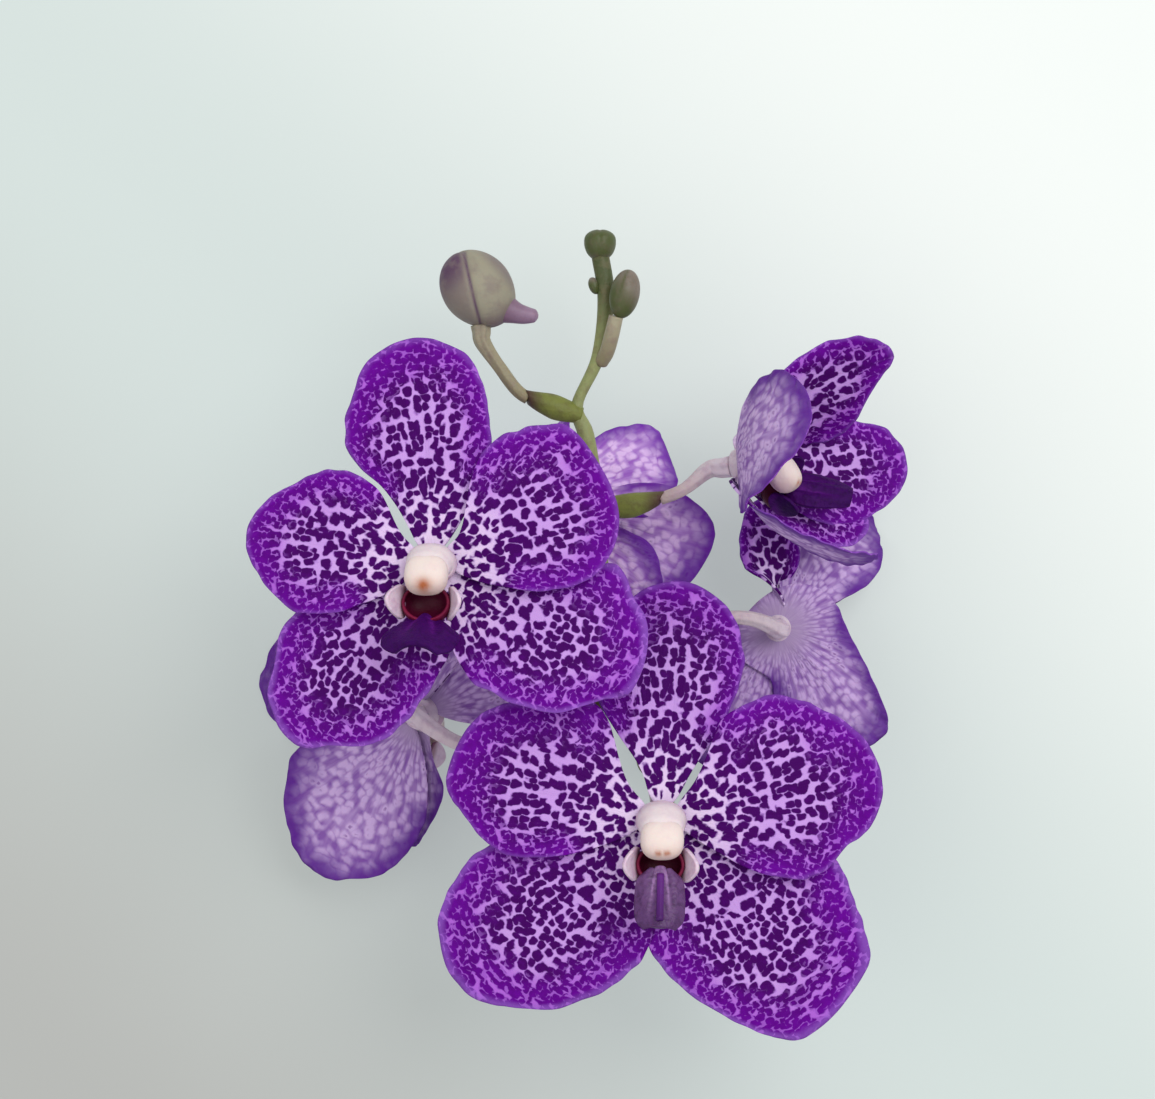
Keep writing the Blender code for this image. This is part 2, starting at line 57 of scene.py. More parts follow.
METRES = 0.001
CENTRE = Vector((0.3, -18.7, 0.0))
PHOTO_WIDTH = 1155
CAMERA_HEIGHT = 720.0
BLOOM_HEIGHT = 78.0
MM_PER_PIXEL = 0.2237
SENSOR_WIDTH = 36.0

TEPAL_START = 3.0
TEPAL_REST = 0.45
CLAW_WIDTH = 8.0
STATIONS = (0.18, 0.34, 0.50, 0.66, 0.80, 0.92)
SEPAL_DEPTH = -0.8
PETAL_DEPTH = 0.8
BLADE_THICKNESS = 0.7
MARGIN_THINNING = 0.55
SCALLOPS = ((0.04, 2.2), (0.03, 6.0))
RUFFLE = 0.9
RUFFLE_PITCH = 5.5
SWELL = 0.5
SWELL_PITCH = 0.09
GROOVE_DEPTH = 0.45
GROOVE_WIDTH = 1.3

HUB_RADIUS = 5.5
HUB_BACK = -2.5
HUB_FRONT = 2.0
SEAT_GAP = 0.3
APPROACH = (6.0, 2.5, SEAT_GAP)
COLUMN_ROUTE = ((0, 0, 2.3), (0, 0, 3.3), (0, 0, 5), (0, -2.6, 10))
COLUMN_RADII = (5.2, 4.9, 4.6, 4.3, 3.2)
CAP_CENTRE = (0, -3.5, 9.6)
CAP_RADII = (4.9, 4.6, 3.6)
CAP_TILT = -24
CAP_FULLNESS = 2.6
DOT_HEIGHT = -6.3
POUCH_CENTRE = (0, -9.6, 6.2)
POUCH_RADII = (5.4, 4.4, 4.1)
POUCH_MOUTH = (0, -9.6, 7.8)
POUCH_SLANT = (0, 0.15, 1)
POUCH_WALL = 0.6
SIDE_LOBE_WALL = 0.8
MIDLOBE_WALL = 1.3
MIDLOBE_HALF = 7.2
MIDLOBE_STATIONS = (0.0, 0.14, 0.34, 0.6, 0.86, 1.0)
STRIPE_WALL = 0.7
STALK_RADII = (1.5, 1.7, 2.6)
BRACT_RADII = (1.9, 2.6, 2.95, 2.5, 1.9)
BRACT_RINGS = 30
BRACT_SLANT = 42


def srgb(red: int, green: int, blue: int) -> Colour:
    """Turn a colour of 0 to 255 into the linear numbers that a shader takes."""
    parts = [part / 255 for part in (red, green, blue)]
    return tuple(p / 12.92 if p <= 0.04045 else ((p + 0.055) / 1.055) ** 2.4 for p in parts)


def smooth_step(low: float, high: float, value: float) -> float:
    """Rise smoothly from 0 to 1 as the value goes from low to high."""
    share = min(1.0, max(0.0, (value - low) / (high - low)))
    return share * share * (3 - 2 * share)


def hermite(xs: Sequence[float], ys: Sequence[float], x: float) -> float:
    """Read a smooth curve through given points, level beyond its ends.

    Args:
        xs: the points' places, rising.
        ys: the points' values.
        x: where the curve is read.

    Returns:
        The curve's value there.
    """
    if x <= xs[0]:
        return ys[0]
    if x >= xs[-1]:
        return ys[-1]
    last = len(xs) - 1
    i = max(k for k in range(last) if xs[k] <= x)
    span = xs[i + 1] - xs[i]
    before, after = max(i - 1, 0), min(i + 2, last)
    slope_in = (ys[i + 1] - ys[before]) / (xs[i + 1] - xs[before]) * span
    slope_out = (ys[after] - ys[i]) / (xs[after] - xs[i]) * span
    s = (x - xs[i]) / span
    rise = ys[i] * (2 * s**3 - 3 * s**2 + 1) + ys[i + 1] * (3 * s**2 - 2 * s**3)
    return rise + slope_in * (s**3 - 2 * s**2 + s) + slope_out * (s**3 - s**2)


def smooth_route(points: Sequence[Point | Vector], per_span: int = 12) -> list[Vector]:
    """Draw a smooth curve through the points of a route.

    Args:
        points: the route's own points.
        per_span: how many points each stretch of it gets.

    Returns:
        The curve's points, ends included.
    """
    route = [Vector(point) for point in points]
    ends = [route[0] * 2 - route[1]] + route + [route[-1] * 2 - route[-2]]
    curve = []
    for a, b, c, d in zip(ends, ends[1:], ends[2:], ends[3:]):
        for step in range(per_span):
            s = step / per_span
            straight = b * 2 + (c - a) * s
            bent = (a * 2 - b * 5 + c * 4 - d) * s**2 + (b * 3 - a - c * 3 + d) * s**3
            curve.append((straight + bent) / 2)
    return curve + [route[-1]]


def route_length(curve: Sequence[Vector]) -> float:
    """Measure a curve in millimetres."""
    return sum((b - a).length for a, b in zip(curve, curve[1:]))


def route_point(curve: Sequence[Vector], wanted: float) -> Vector:
    """Find the point that lies a wanted length along a curve.

    Args:
        curve: the curve's points.
        wanted: the length from its start, which may lie past its end.

    Returns:
        The point.
    """
    for a, b in zip(curve, curve[1:]):
        step = (b - a).length
        if wanted <= step:
            return a.lerp(b, wanted / step)
        wanted -= step
    return curve[-1] + (curve[-1] - curve[-2]).normalized() * wanted


def ring_frames(
    curve: Sequence[Vector], radii: Sequence[float], start: float, end: float, count: int,
    twist: float = 0.0,
) -> list[Matrix]:
    """Set rings along part of a curve, each square to it and turned no more than it bends.

    Args:
        curve: the curve's points.
        radii: ring radii, spread evenly along that part.
        start: where the first ring stands, as a length along the curve.
        end: where the last ring stands.
        count: how many rings there are.
        twist: how far the last ring is turned about the curve, in degrees.

    Returns:
        For each ring, the matrix that carries a unit circle to it.
    """
    frames = []
    old = (route_point(curve, start + 0.5) - route_point(curve, start - 0.5)).normalized()
    turn = Vector((0, 0, 1)).rotation_difference(old)
    shares = [k / (len(radii) - 1) for k in range(len(radii))]
    for ring in range(count):
        share = ring / (count - 1)
        at = start + (end - start) * share
        heading = (route_point(curve, at + 0.5) - route_point(curve, at - 0.5)).normalized()
        turn = old.rotation_difference(heading) @ turn
        old = heading
        radius = hermite(shares, radii, share)
        place = Matrix.Translation(route_point(curve, at)) @ turn.to_matrix().to_4x4()
        spin = Matrix.Rotation(math.radians(twist) * share, 4, "Z")
        frames.append(place @ spin @ Matrix.Diagonal((radius, radius, 1.0, 1.0)))
    return frames


def bell(offset: float, width: float) -> float:
    """Fall from 1 at no offset to about a third at one width, and on towards 0."""
    return math.exp(-((offset / width) ** 2))


def turned(degrees: float, axis: str) -> Matrix:
    """Give the matrix of a turn about an axis."""
    return Matrix.Rotation(math.radians(degrees), 4, axis)


def placed(centre: Sequence[float], turn: Matrix, radii: Sequence[float]) -> Matrix:
    """Give the matrix that carries a unit ball to its place, turn and radii."""
    return Matrix.Translation(centre) @ turn @ Matrix.Diagonal((*radii, 1.0))


def disc(x: float, y: float) -> tuple[float, float]:
    """Carry a point of the square from -1 to 1 to the unit disc."""
    return x * math.sqrt(1 - y * y / 2), y * math.sqrt(1 - x * x / 2)


class Value:
    """What a material's socket gives at each point, with plain arithmetic on it."""

    def __init__(self, brush: "Painter", socket: bpy.types.NodeSocket) -> None:
        """Keep the socket and its material's painter."""
        self.brush = brush
        self.socket = socket

    def __add__(self, other: object) -> "Value":
        """Add a number."""
        return self.brush.calc("ADD", self, other)

    def __sub__(self, other: object) -> "Value":
        """Take a number away."""
        return self.brush.calc("SUBTRACT", self, other)

    def __rsub__(self, other: float) -> "Value":
        """Take this number away from a plain one."""
        return self.brush.calc("SUBTRACT", other, self)

    def __mul__(self, other: object) -> "Value":
        """Multiply by a number."""
        return self.brush.calc("MULTIPLY", self, other)

    def __truediv__(self, other: object) -> "Value":
        """Divide by a number."""
        return self.brush.calc("DIVIDE", self, other)

    def rise(self, low: object, high: object) -> "Value":
        """Rise smoothly from 0 to 1 as the number goes from low to high."""
        feeds = {"Value": self, "From Min": low, "From Max": high}
        return self.brush.node("MapRange", "Result", feeds, interpolation_type="SMOOTHSTEP")


class Painter:
    """Builds one node material, step by step."""

    def __init__(self, name: str) -> None:
        """Start a material with a Principled shader, and read the place on the object.

        Args:
            name: the material's name.
        """
        self.material = bpy.data.materials.new(name)
        self.material.use_nodes = True
        self.tree = self.material.node_tree
        self.shader = self.tree.nodes["Principled BSDF"]
        self.place = self.node("TexCoord", "Object")

    def node(
        self, kind: str, output: int | str, inputs: dict | None = None, **settings: object
    ) -> Value:
        """Add a node, set its options and feed its inputs.

        Args:
            kind: the node's type name, after "ShaderNode".
            output: the name or number of the output that is wanted.
            inputs: values for its inputs, by their name or number.
            settings: the node's own options.

        Returns:
            What that output gives.
        """
        made = self.tree.nodes.new("ShaderNode" + kind)
        for key, value in settings.items():
            setattr(made, key, value)
        for key, value in (inputs or {}).items():
            self.feed(made.inputs[key], value)
        return Value(self, made.outputs[output])

    def feed(self, socket: bpy.types.NodeSocket, value: object) -> None:
        """Link a value to an input, or set a plain number or colour on it."""
        if isinstance(value, Value):
            self.tree.links.new(value.socket, socket)
        elif isinstance(value, tuple):
            socket.default_value = (*value, 1.0)
        else:
            socket.default_value = value

    def calc(self, operation: str, a: object, b: object, clamp: bool = False) -> Value:
        """Do one step of arithmetic on two numbers."""
        return self.node("Math", 0, {0: a, 1: b}, operation=operation, use_clamp=clamp)

    def blend(self, share: object, first: object, second: object) -> Value:
        """Mix two colours."""
        return self.node("Mix", 2, {"Factor": share, 6: first, 7: second}, data_type="RGBA")

    def lerp(self, share: object, first: object, second: object) -> Value:
        """Mix two numbers."""
        return self.node("Mix", 0, {"Factor": share, 2: first, 3: second}, data_type="FLOAT")

    def vector(self, x: object, y: object) -> Value:
        """Join two numbers into a flat vector."""
        return self.node("CombineXYZ", 0, {0: x, 1: y})

    def split(self, vector: Value) -> tuple[Value, Value]:
        """Give a vector's first two numbers."""
        return self.node("SeparateXYZ", 0, {0: vector}), self.node("SeparateXYZ", 1, {0: vector})

    def tone(self) -> Value:
        """Read the piece's own tone attribute."""
        return self.node("Attribute", "Fac", attribute_name="tone")

    def cloud(
        self, scale: float, detail: float = 2.0, rough: float = 0.5, where: Value | None = None
    ) -> Value:
        """Read soft noise as a number near 0.5, on the object's own place or another one."""
        where = where or self.place
        feeds = {"Vector": where, "Scale": scale, "Detail": detail, "Roughness": rough}
        return self.node("TexNoise", "Fac", feeds)

    def sway(self, scale: float, detail: float = 2.0) -> Value:
        """Read soft noise as a number near 0."""
        return self.cloud(scale, detail) - 0.5

    def cells(self, along: Value, across: Value, randomness: float) -> Value:
        """Read how far the nearest of many scattered points is, on a flat pattern."""
        flat = self.vector(along, across)
        feeds = {"Vector": flat, "Scale": 1.0, "Randomness": randomness, "Exponent": 2.6}
        settings = {"voronoi_dimensions": "2D", "distance": "MINKOWSKI"}
        return self.node("TexVoronoi", "Distance", feeds, **settings)

    def relief(self, height: Value, distance: float, strength: float) -> None:
        """Give the shader relief from a height, where 1 stands for the distance in mm."""
        feeds = {"Height": height, "Distance": distance * METRES, "Strength": strength}
        self.feed(self.shader.inputs["Normal"], self.node("Bump", 0, feeds))

    def dress(
        self, colour: Value, roughness: object, gloss: float = 0.4, inner: float = 0.0
    ) -> Material:
        """Finish the shader.

        Args:
            colour: the base colour.
            roughness: the roughness.
            gloss: how strongly the surface mirrors light, from 0 to 1.
            inner: how much light scatters under the surface.

        Returns:
            The material.
        """
        for key, value in (
            ("Base Color", colour), ("Roughness", roughness), ("Specular IOR Level", gloss),
            ("Subsurface Weight", inner), ("Subsurface Scale", 0.0008),
        ):
            self.feed(self.shader.inputs[key], value)
        return self.material


class BladePainter(Painter):
    """Paints a tepal by each point's distance and angle from the root and nearness to the rim."""

    def __init__(self, name: str) -> None:
        """Start the material and read the blade's own numbers.

        Args:
            name: the material's name.
        """
        super().__init__(name)
        self.radius, self.angle = self.split(self.node("UVMap", 0, uv_map="fan"))
        self.edge = self.tone()


@dataclass(frozen=True)
class SpottedFace:
    """A tepal's face: dark blotches in fanning rows that close to violet at the margin.

    row_length and row_width are the room of one blotch in millimetres. size is how large a
    blotch is near the root and grown how large at the margin, and it grows between grows_from
    and grows_to of the way out. bands are the distances from the root, in millimetres, at which
    each net of rows has that room, so more rows fit further out.
    """

    name: str
    blotch: Colour = srgb(66, 2, 92)
    bright: Colour = srgb(104, 4, 148)
    halo: Colour = srgb(138, 70, 180)
    ground: Colour = srgb(196, 150, 222)
    heart: Colour = srgb(228, 204, 236)
    fleck: Colour = srgb(172, 96, 208)
    rim: Colour = srgb(150, 100, 196)
    row_length: float = 2.5
    row_width: float = 2.05
    size: float = 0.46
    grown: float = 0.7
    grows_from: float = 0.38
    grows_to: float = 1.06
    rim_from: float = 0.975
    rim_share: float = 0.36
    bands: Widths = (7.0, 12.0, 21.0, 36.0)

    def paint(self) -> Material:
        """Build the face's material.

        Returns:
            The material.
        """
        brush = BladePainter(self.name)
        fine = brush.sway(640.0)
        patch = brush.sway(105.0)
        reach = brush.edge + patch * 0.5
        closing = reach.rise(self.grows_from, self.grows_to)
        limit = brush.lerp(closing, self.size, self.grown) + patch * 0.2
        distance = self.rows(brush) + fine * 0.42
        inside = limit * brush.radius.rise(3.5, 8.5) - distance
        mark = inside.rise(-0.035, 0.075) * (1.0 - self.flecks(brush, reach))
        shade = brush.calc("MULTIPLY", closing + fine * 0.8, 0.9, clamp=True)
        dark = brush.blend(shade, self.blotch, self.bright)
        pale = brush.blend(brush.radius.rise(6.0, 26.0), self.heart, self.ground)
        pale = brush.blend(reach.rise(0.35, 0.9), pale, self.fleck)
        colour = brush.blend(inside.rise(-0.12, 0.03) * 0.55, pale, self.halo)
        colour = brush.blend(mark, colour, dark)
        rim = (brush.edge + fine * 0.05).rise(self.rim_from - 0.05, self.rim_from + 0.03)
        colour = brush.blend(rim * self.rim_share, colour, self.rim)
        veins = brush.cloud(1.0, where=brush.vector(brush.radius * 0.09, brush.angle * 26.0))
        brush.relief(veins + brush.cloud(2600.0, 1.0) * 0.25, 0.5, 0.6)
        return brush.dress(colour, brush.lerp(mark, 0.7, 0.6), gloss=0.05, inner=0.02)

    def flecks(self, brush: BladePainter, reach: Value) -> Value:
        """Scatter small pale flecks where the violet closes.

        Args:
            brush: the material's painter.
            reach: how near the margin each point is.

        Returns:
            How pale each point is, from 0 to 1.
        """
        sway = brush.sway(520.0, 1.0)
        net = brush.cells(brush.radius / 1.1 + sway, brush.angle * 34.0 + sway, 1.0)
        few = reach.rise(0.55, 1.05) * 0.06 + 0.5
        return net.rise(few, few + 0.14) * reach.rise(0.5, 0.75)

    def rows(self, brush: BladePainter) -> Value:
        """Lay the rows of blotches, with more rows the further they are from the root.

        Args:
            brush: the material's painter.

        Returns:
            The distance to the nearest blotch's middle, in rows.
        """
        sway = brush.sway(230.0)
        drift = brush.sway(410.0, 1.0) * 0.8
        along = brush.radius / self.row_length + sway * 1.5
        shift = brush.radius + sway * 9.0
        nets = []
        for count, band in enumerate(self.bands):
            across = brush.angle * (band / self.row_width) + drift
            nets.append(brush.cells(along + 7.3 * count, across, 0.8))
        result = nets[0]
        for inner, outer, net in zip(self.bands, self.bands[1:], nets[1:]):
            border = math.sqrt(inner * outer)
            result = brush.lerp(shift.rise(border - 1.2, border + 1.2), result, net)
        return result


@dataclass(frozen=True)
class VeinedBack:
    """A tepal's back: lilac with soft pale cells, whitish at the root and violet at the rim."""

    name: str
    cell: Colour = srgb(202, 170, 220)
    line: Colour = srgb(134, 88, 168)
    root: Colour = srgb(196, 176, 204)
    margin: Colour = srgb(88, 22, 138)
    speck: Colour = srgb(96, 30, 126)
    margin_from: float = 0.48

    def paint(self) -> Material:
        """Build the back's material.

        Returns:
            The material.
        """
        brush = BladePainter(self.name)
        radius, angle = brush.radius, brush.angle
        sway = brush.sway(240.0)
        middle = brush.cells(radius / 2.6 + sway * 1.6, angle * 11.0 + sway, 0.85)
        far = radius.rise(3.5, 12.0)
        soft = 1.0 - middle.rise(0.12, 0.62)
        veil = brush.cloud(130.0, 3.0)
        streak = brush.cloud(1.0, 3.0, where=brush.vector(radius * 0.12, angle * 18.0))
        share = soft * 0.55 + veil * 0.6 + (streak - 0.62)
        share = brush.calc("MULTIPLY", share, 1.5, clamp=True)
        colour = brush.blend(share, self.line, self.cell)
        colour = brush.blend(far, brush.blend(streak * 0.7, self.root, self.line), colour)
        spot = middle.rise(0.20, 0.10) * veil.rise(0.56, 0.64) * far
        colour = brush.blend(spot * 0.55, colour, self.speck)
        border = (brush.edge + (veil - 0.5) * 0.6).rise(self.margin_from, 1.0)
        colour = brush.blend(border * 0.92, colour, self.margin)
        brush.relief((streak + soft * 0.5) * far, 0.5, 0.6)
        return brush.dress(colour, 0.6, gloss=0.1, inner=0.04)


@dataclass(frozen=True)
class BlendedSkin:
    """Tissue whose colour runs between two colours by its tone attribute, with soft mottle."""

    name: str
    first: Colour
    second: Colour
    mottle: Colour
    amount: float = 0.4
    scale: float = 420.0
    roughness: float = 0.45
    gloss: float = 0.35
    relief: float = 0.12
    inner: float = 0.08

    def paint(self) -> Material:
        """Build the tissue's material.

        Returns:
            The material.
        """
        brush = Painter(self.name)
        mottle = brush.cloud(self.scale, 3.0, 0.6)
        colour = brush.blend(brush.tone(), self.first, self.second)
        colour = brush.blend(mottle.rise(0.42, 0.72) * self.amount, colour, self.mottle)
        brush.relief(mottle + brush.cloud(1800.0) * 0.4, self.relief * 3, 0.5)
        return brush.dress(colour, self.roughness, gloss=self.gloss, inner=self.inner)


class Painted(Enum):
    """Named finishes, each painted once."""

    def material(self) -> Material:
        """Give the finish's material."""
        return bpy.data.materials.get(self.value.name) or self.value.paint()


class Tissue(Painted):
    """The spray's finishes other than its tepals."""

    COLUMN = BlendedSkin(
        "column_skin", srgb(234, 218, 220), srgb(196, 150, 190), srgb(220, 194, 210),
        amount=0.35, roughness=0.5, gloss=0.2,
    )
    CAP = BlendedSkin(
        "anther_cap_skin", srgb(234, 216, 210), srgb(176, 98, 60), srgb(228, 202, 204),
        roughness=0.5, gloss=0.2,
    )
    SIDE_LOBE = BlendedSkin(
        "side_lobe_skin", srgb(228, 204, 222), srgb(118, 26, 70), srgb(176, 120, 168),
    )
    THROAT = BlendedSkin(
        "throat_skin", srgb(132, 28, 66), srgb(78, 6, 38), srgb(92, 8, 50), amount=0.5,
        gloss=0.15,
    )
    MIDLOBE = BlendedSkin(
        "midlobe_skin", srgb(80, 38, 96), srgb(170, 128, 184), srgb(48, 8, 62), amount=0.6,
        scale=700.0, roughness=0.42, relief=0.2,
    )
    DARK_MIDLOBE = BlendedSkin(
        "dark_midlobe_skin", srgb(56, 2, 84), srgb(96, 24, 128), srgb(40, 0, 60), amount=0.6,
        scale=700.0, roughness=0.55, gloss=0.08, relief=0.2,
    )
    STRIPE = BlendedSkin(
        "midlobe_stripe_skin", srgb(100, 38, 128), srgb(70, 20, 94), srgb(86, 26, 112), gloss=0.2,
    )
    STALK = BlendedSkin(
        "stalk_skin", srgb(176, 156, 150), srgb(222, 204, 218), srgb(170, 130, 160),
        relief=0.2,
    )
    BUD_STALK = BlendedSkin(
        "bud_stalk_skin", srgb(144, 134, 100), srgb(160, 152, 128), srgb(132, 106, 104),
        relief=0.2,
    )
    STEM = BlendedSkin(
        "stem_skin", srgb(142, 148, 96), srgb(72, 80, 44), srgb(116, 104, 76), amount=0.5,
        roughness=0.5, relief=0.2,
    )
    BRACT = BlendedSkin(
        "bract_skin", srgb(118, 124, 56), srgb(78, 50, 42), srgb(94, 88, 48), amount=0.6,
        roughness=0.55, relief=0.2,
    )
    BUD = BlendedSkin(
        "bud_skin", srgb(150, 144, 126), srgb(80, 44, 84), srgb(126, 112, 108), amount=0.6,
        scale=260.0, roughness=0.5, gloss=0.2,
    )
    SPUR = BlendedSkin(
        "spur_skin", srgb(112, 84, 104), srgb(150, 122, 148), srgb(124, 96, 118),
    )
    GREEN_BUD = BlendedSkin(
        "green_bud_skin", srgb(74, 82, 42), srgb(126, 112, 104), srgb(92, 84, 66), amount=0.5,
    )


class Face(Painted):
    """The two sides of a tepal, and a lighter copy of the back that is painted light for a bloom
    whose back lies in shade.
    """

    PETAL = SpottedFace("petal_face")
    DORSAL = SpottedFace("dorsal_face", grows_from=0.45, grows_to=1.08, rim_from=0.97)
    LATERAL = SpottedFace(
        "lateral_face", row_length=2.1, row_width=2.0, size=0.47, grown=0.64, grows_from=0.35,
        grows_to=1.05, rim_from=0.955, rim_share=0.5,
    )
    BACK = VeinedBack("tepal_back")
    # Painted light: the same back made lighter, for a bloom whose back lies in the shade of the
    # blooms above it.
    PAINTED_LIGHT_BACK = VeinedBack(
        "tepal_back_painted_light", cell=srgb(228, 192, 242), line=srgb(158, 98, 196),
        margin=srgb(104, 26, 160),
    )


def link(name: str, data: bpy.types.ID) -> bpy.types.Object:
    """Put a new object into the scene, at the origin."""
    thing = bpy.data.objects.new(name, data)
    bpy.context.scene.collection.objects.link(thing)
    return thing


def finish_piece(
    name: str, bm: Mesh, node: str, slot: str, skins: Sequence[Painted],
    tones: Sequence[float], fan: Sequence[tuple[float, float]] = (),
) -> bpy.types.Object:
    """Turn a mesh in millimetres into a finished piece of the spray.

    Args:
        name: the piece's name.
        bm: its mesh, in millimetres in the spray's own place. It is freed here.
        node: the solid that it stands for.
        slot: not used.
        skins: its finishes, in slot order.
        tones: for each vertex, its tone.
        fan: for each vertex, its distance from the root and its angle.

    Returns:
        The object.
    """
    mesh = bpy.data.meshes.new(name)
    bm.to_mesh(mesh)
    bm.free()
    mesh.attributes.new("tone", "FLOAT", "POINT").data.foreach_set("value", tones)
    if fan:
        layer = mesh.uv_layers.new(name="fan")
        for loop in mesh.loops:
            layer.data[loop.index].uv = fan[loop.vertex_index]
    mesh.transform(Matrix.Scale(METRES, 4) @ Matrix.Translation(-CENTRE))
    mesh.shade_smooth()
    for skin in skins:
        mesh.materials.append(skin.material())
    piece = link(name, mesh)
    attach(piece, "root")
    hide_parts(node)
    LOG.info("%s: %d vertices", name, len(mesh.vertices))
    return piece


def thicken(piece: bpy.types.Object, thickness: float) -> bpy.types.Modifier:
    """Give a sheet its thickness in millimetres, half to each side."""
    body = piece.modifiers.new("thickness", "SOLIDIFY")
    body.thickness = thickness * METRES
    body.offset = 0.0
    return body


@dataclass(frozen=True)
class Tepal:
    """One blade of a bloom, aimed in the bloom's plane, anticlockwise from its right.

    left and right are half-widths at STATIONS, as shares of the length from the hub. lift is
    the slope out of the bloom's plane at the hub, bend what the slope gains by the tip, and
    twist the turn about the blade's own midrib, all in degrees. The twist is whole at turned_by,
    a share of the length. start is where the blade begins, and claw how full its root is.
    """

    aim: float
    length: float
    left: Widths
    right: Widths
    lift: float = 0.0
    bend: float = 0.0
    twist: float = 0.0
    cup: float = 0.0
    wave: float = 0.8
    waves: int = 3
    phase: float = 0.0
    depth: float = SEPAL_DEPTH
    start: float = TEPAL_START
    claw: float = CLAW_WIDTH
    turned_by: float = 1.0

    def fullness(self, widths: Widths) -> tuple[list[float], list[float]]:
        """Give one side's widths as multiples of an ellipse, with the claw's width first."""
        body = self.length - self.start
        shares = [(share * self.length - self.start) / body for share in STATIONS]
        full = [w / (2 * math.sqrt(s * (1 - s))) for w, s in zip(widths, shares)]
        return [0.0] + shares, [self.claw] + full

    def midrib(self, along: float) -> tuple[float, float, float]:
        """Give the midrib's reach, rise and slope at a length from the hub's middle."""
        free = along - HUB_RADIUS
        if free <= 0:
            return along, 0.0, 0.0
        lift, bend = math.radians(self.lift), math.radians(self.bend)
        turn = (self.length - HUB_RADIUS) / bend
        slope = lift + free / turn
        reach = turn * (math.sin(slope) - math.sin(lift))
        rise = turn * (math.cos(lift) - math.cos(slope))
        return HUB_RADIUS + reach, rise, slope

    def point(
        self, sides: tuple, x: float, y: float, seed: float
    ) -> tuple[Vector, float, tuple[float, float]]:
        """Carry a point of the square from -1 to 1 to its place on the blade.

        Args:
            sides: the fullness of the left and of the right side.
            x: the place along the square.
            y: the place across it.
            seed: what sets this blade's fine ruffle apart.

        Returns:
            The point in the bloom's own plane, how near the margin it is from 0 to 1, and its
            distance and angle from the root.
        """
        u, v = disc(x, y)
        share = (1 + u) / 2
        rim = min(1.0, math.hypot(u, v))
        around = math.atan2(v, u)
        free = smooth_step(0.12, 0.4, share)
        ring = Vector((math.cos(around), math.sin(around), seed))
        notches = sum(size * noise.noise(ring * pitch) for size, pitch in SCALLOPS)
        along = self.start + (self.length - self.start) * share
        across = v * hermite(*sides[0 if v > 0 else 1], share) * (1 + free * rim**4 * notches)
        reach, rise, slope = self.midrib(along)
        ripple = self.wave * rim**3 * share * math.sin(self.waves * around + self.phase)
        ruffle = RUFFLE * free * rim**5 * noise.noise(ring * RUFFLE_PITCH)
        flat = Vector((along * SWELL_PITCH, across * SWELL_PITCH, seed))
        swell = SWELL * free * noise.noise(flat)
        groove = -GROOVE_DEPTH * free * (1 - rim) * bell(across, GROOVE_WIDTH)
        off = self.cup * v * v * share + ripple + ruffle + swell + groove
        turn = math.radians(self.twist) * min(1.0, share / self.turned_by)
        side = across * math.cos(turn) - off * math.sin(turn)
        out = across * math.sin(turn) + off * math.cos(turn)
        place = Vector((reach - out * math.sin(slope), side, rise + out * math.cos(slope)))
        place.z += self.depth
        spot = math.hypot(along, across), math.atan2(across, along)
        return turned(self.aim, "Z") @ place, rim * free, spot

    def build(
        self, name: str, node: str, plane: Matrix, skins: Sequence[Painted], grid: int
    ) -> None:
        """Build the blade with its face, back and thickness.

        Args:
            name: the piece's name.
            node: the solid that it stands for.
            plane: the bloom's own place in the spray.
            skins: the finishes of its face and its back.
            grid: how many cells its mesh has each way.
        """
        sides = (self.fullness(self.left), self.fullness(self.right))
        seed = self.aim * 0.37 + self.length
        bm = bmesh.new()
        bmesh.ops.create_grid(bm, x_segments=grid, y_segments=grid, size=1.0)
        edges, fan = [], []
        for vert in bm.verts:
            place, edge, spot = self.point(sides, vert.co.x, vert.co.y, seed)
            vert.co = plane @ place
            vert.co.z = max(vert.co.z, TEPAL_REST)
            edges.append(edge)
            fan.append(spot)
        bmesh.ops.recalc_face_normals(bm, faces=bm.faces[:])
        bm.normal_update()
        root = min(bm.faces, key=lambda item: sum(fan[vert.index][0] for vert in item.verts))
        if root.normal.dot(plane.to_3x3() @ Vector((0, 0, 1))) < 0:
            bmesh.ops.reverse_faces(bm, faces=bm.faces[:])
        piece = finish_piece(name, bm, node, "tepals", skins, edges, fan)
        group = piece.vertex_groups.new(name="thickness")
        for index, edge in enumerate(edges):
            group.add([index], 1.0 - MARGIN_THINNING * edge**4, "REPLACE")
        body = thicken(piece, BLADE_THICKNESS)
        body.vertex_group = "thickness"
        body.material_offset = 1
        body.material_offset_rim = 0


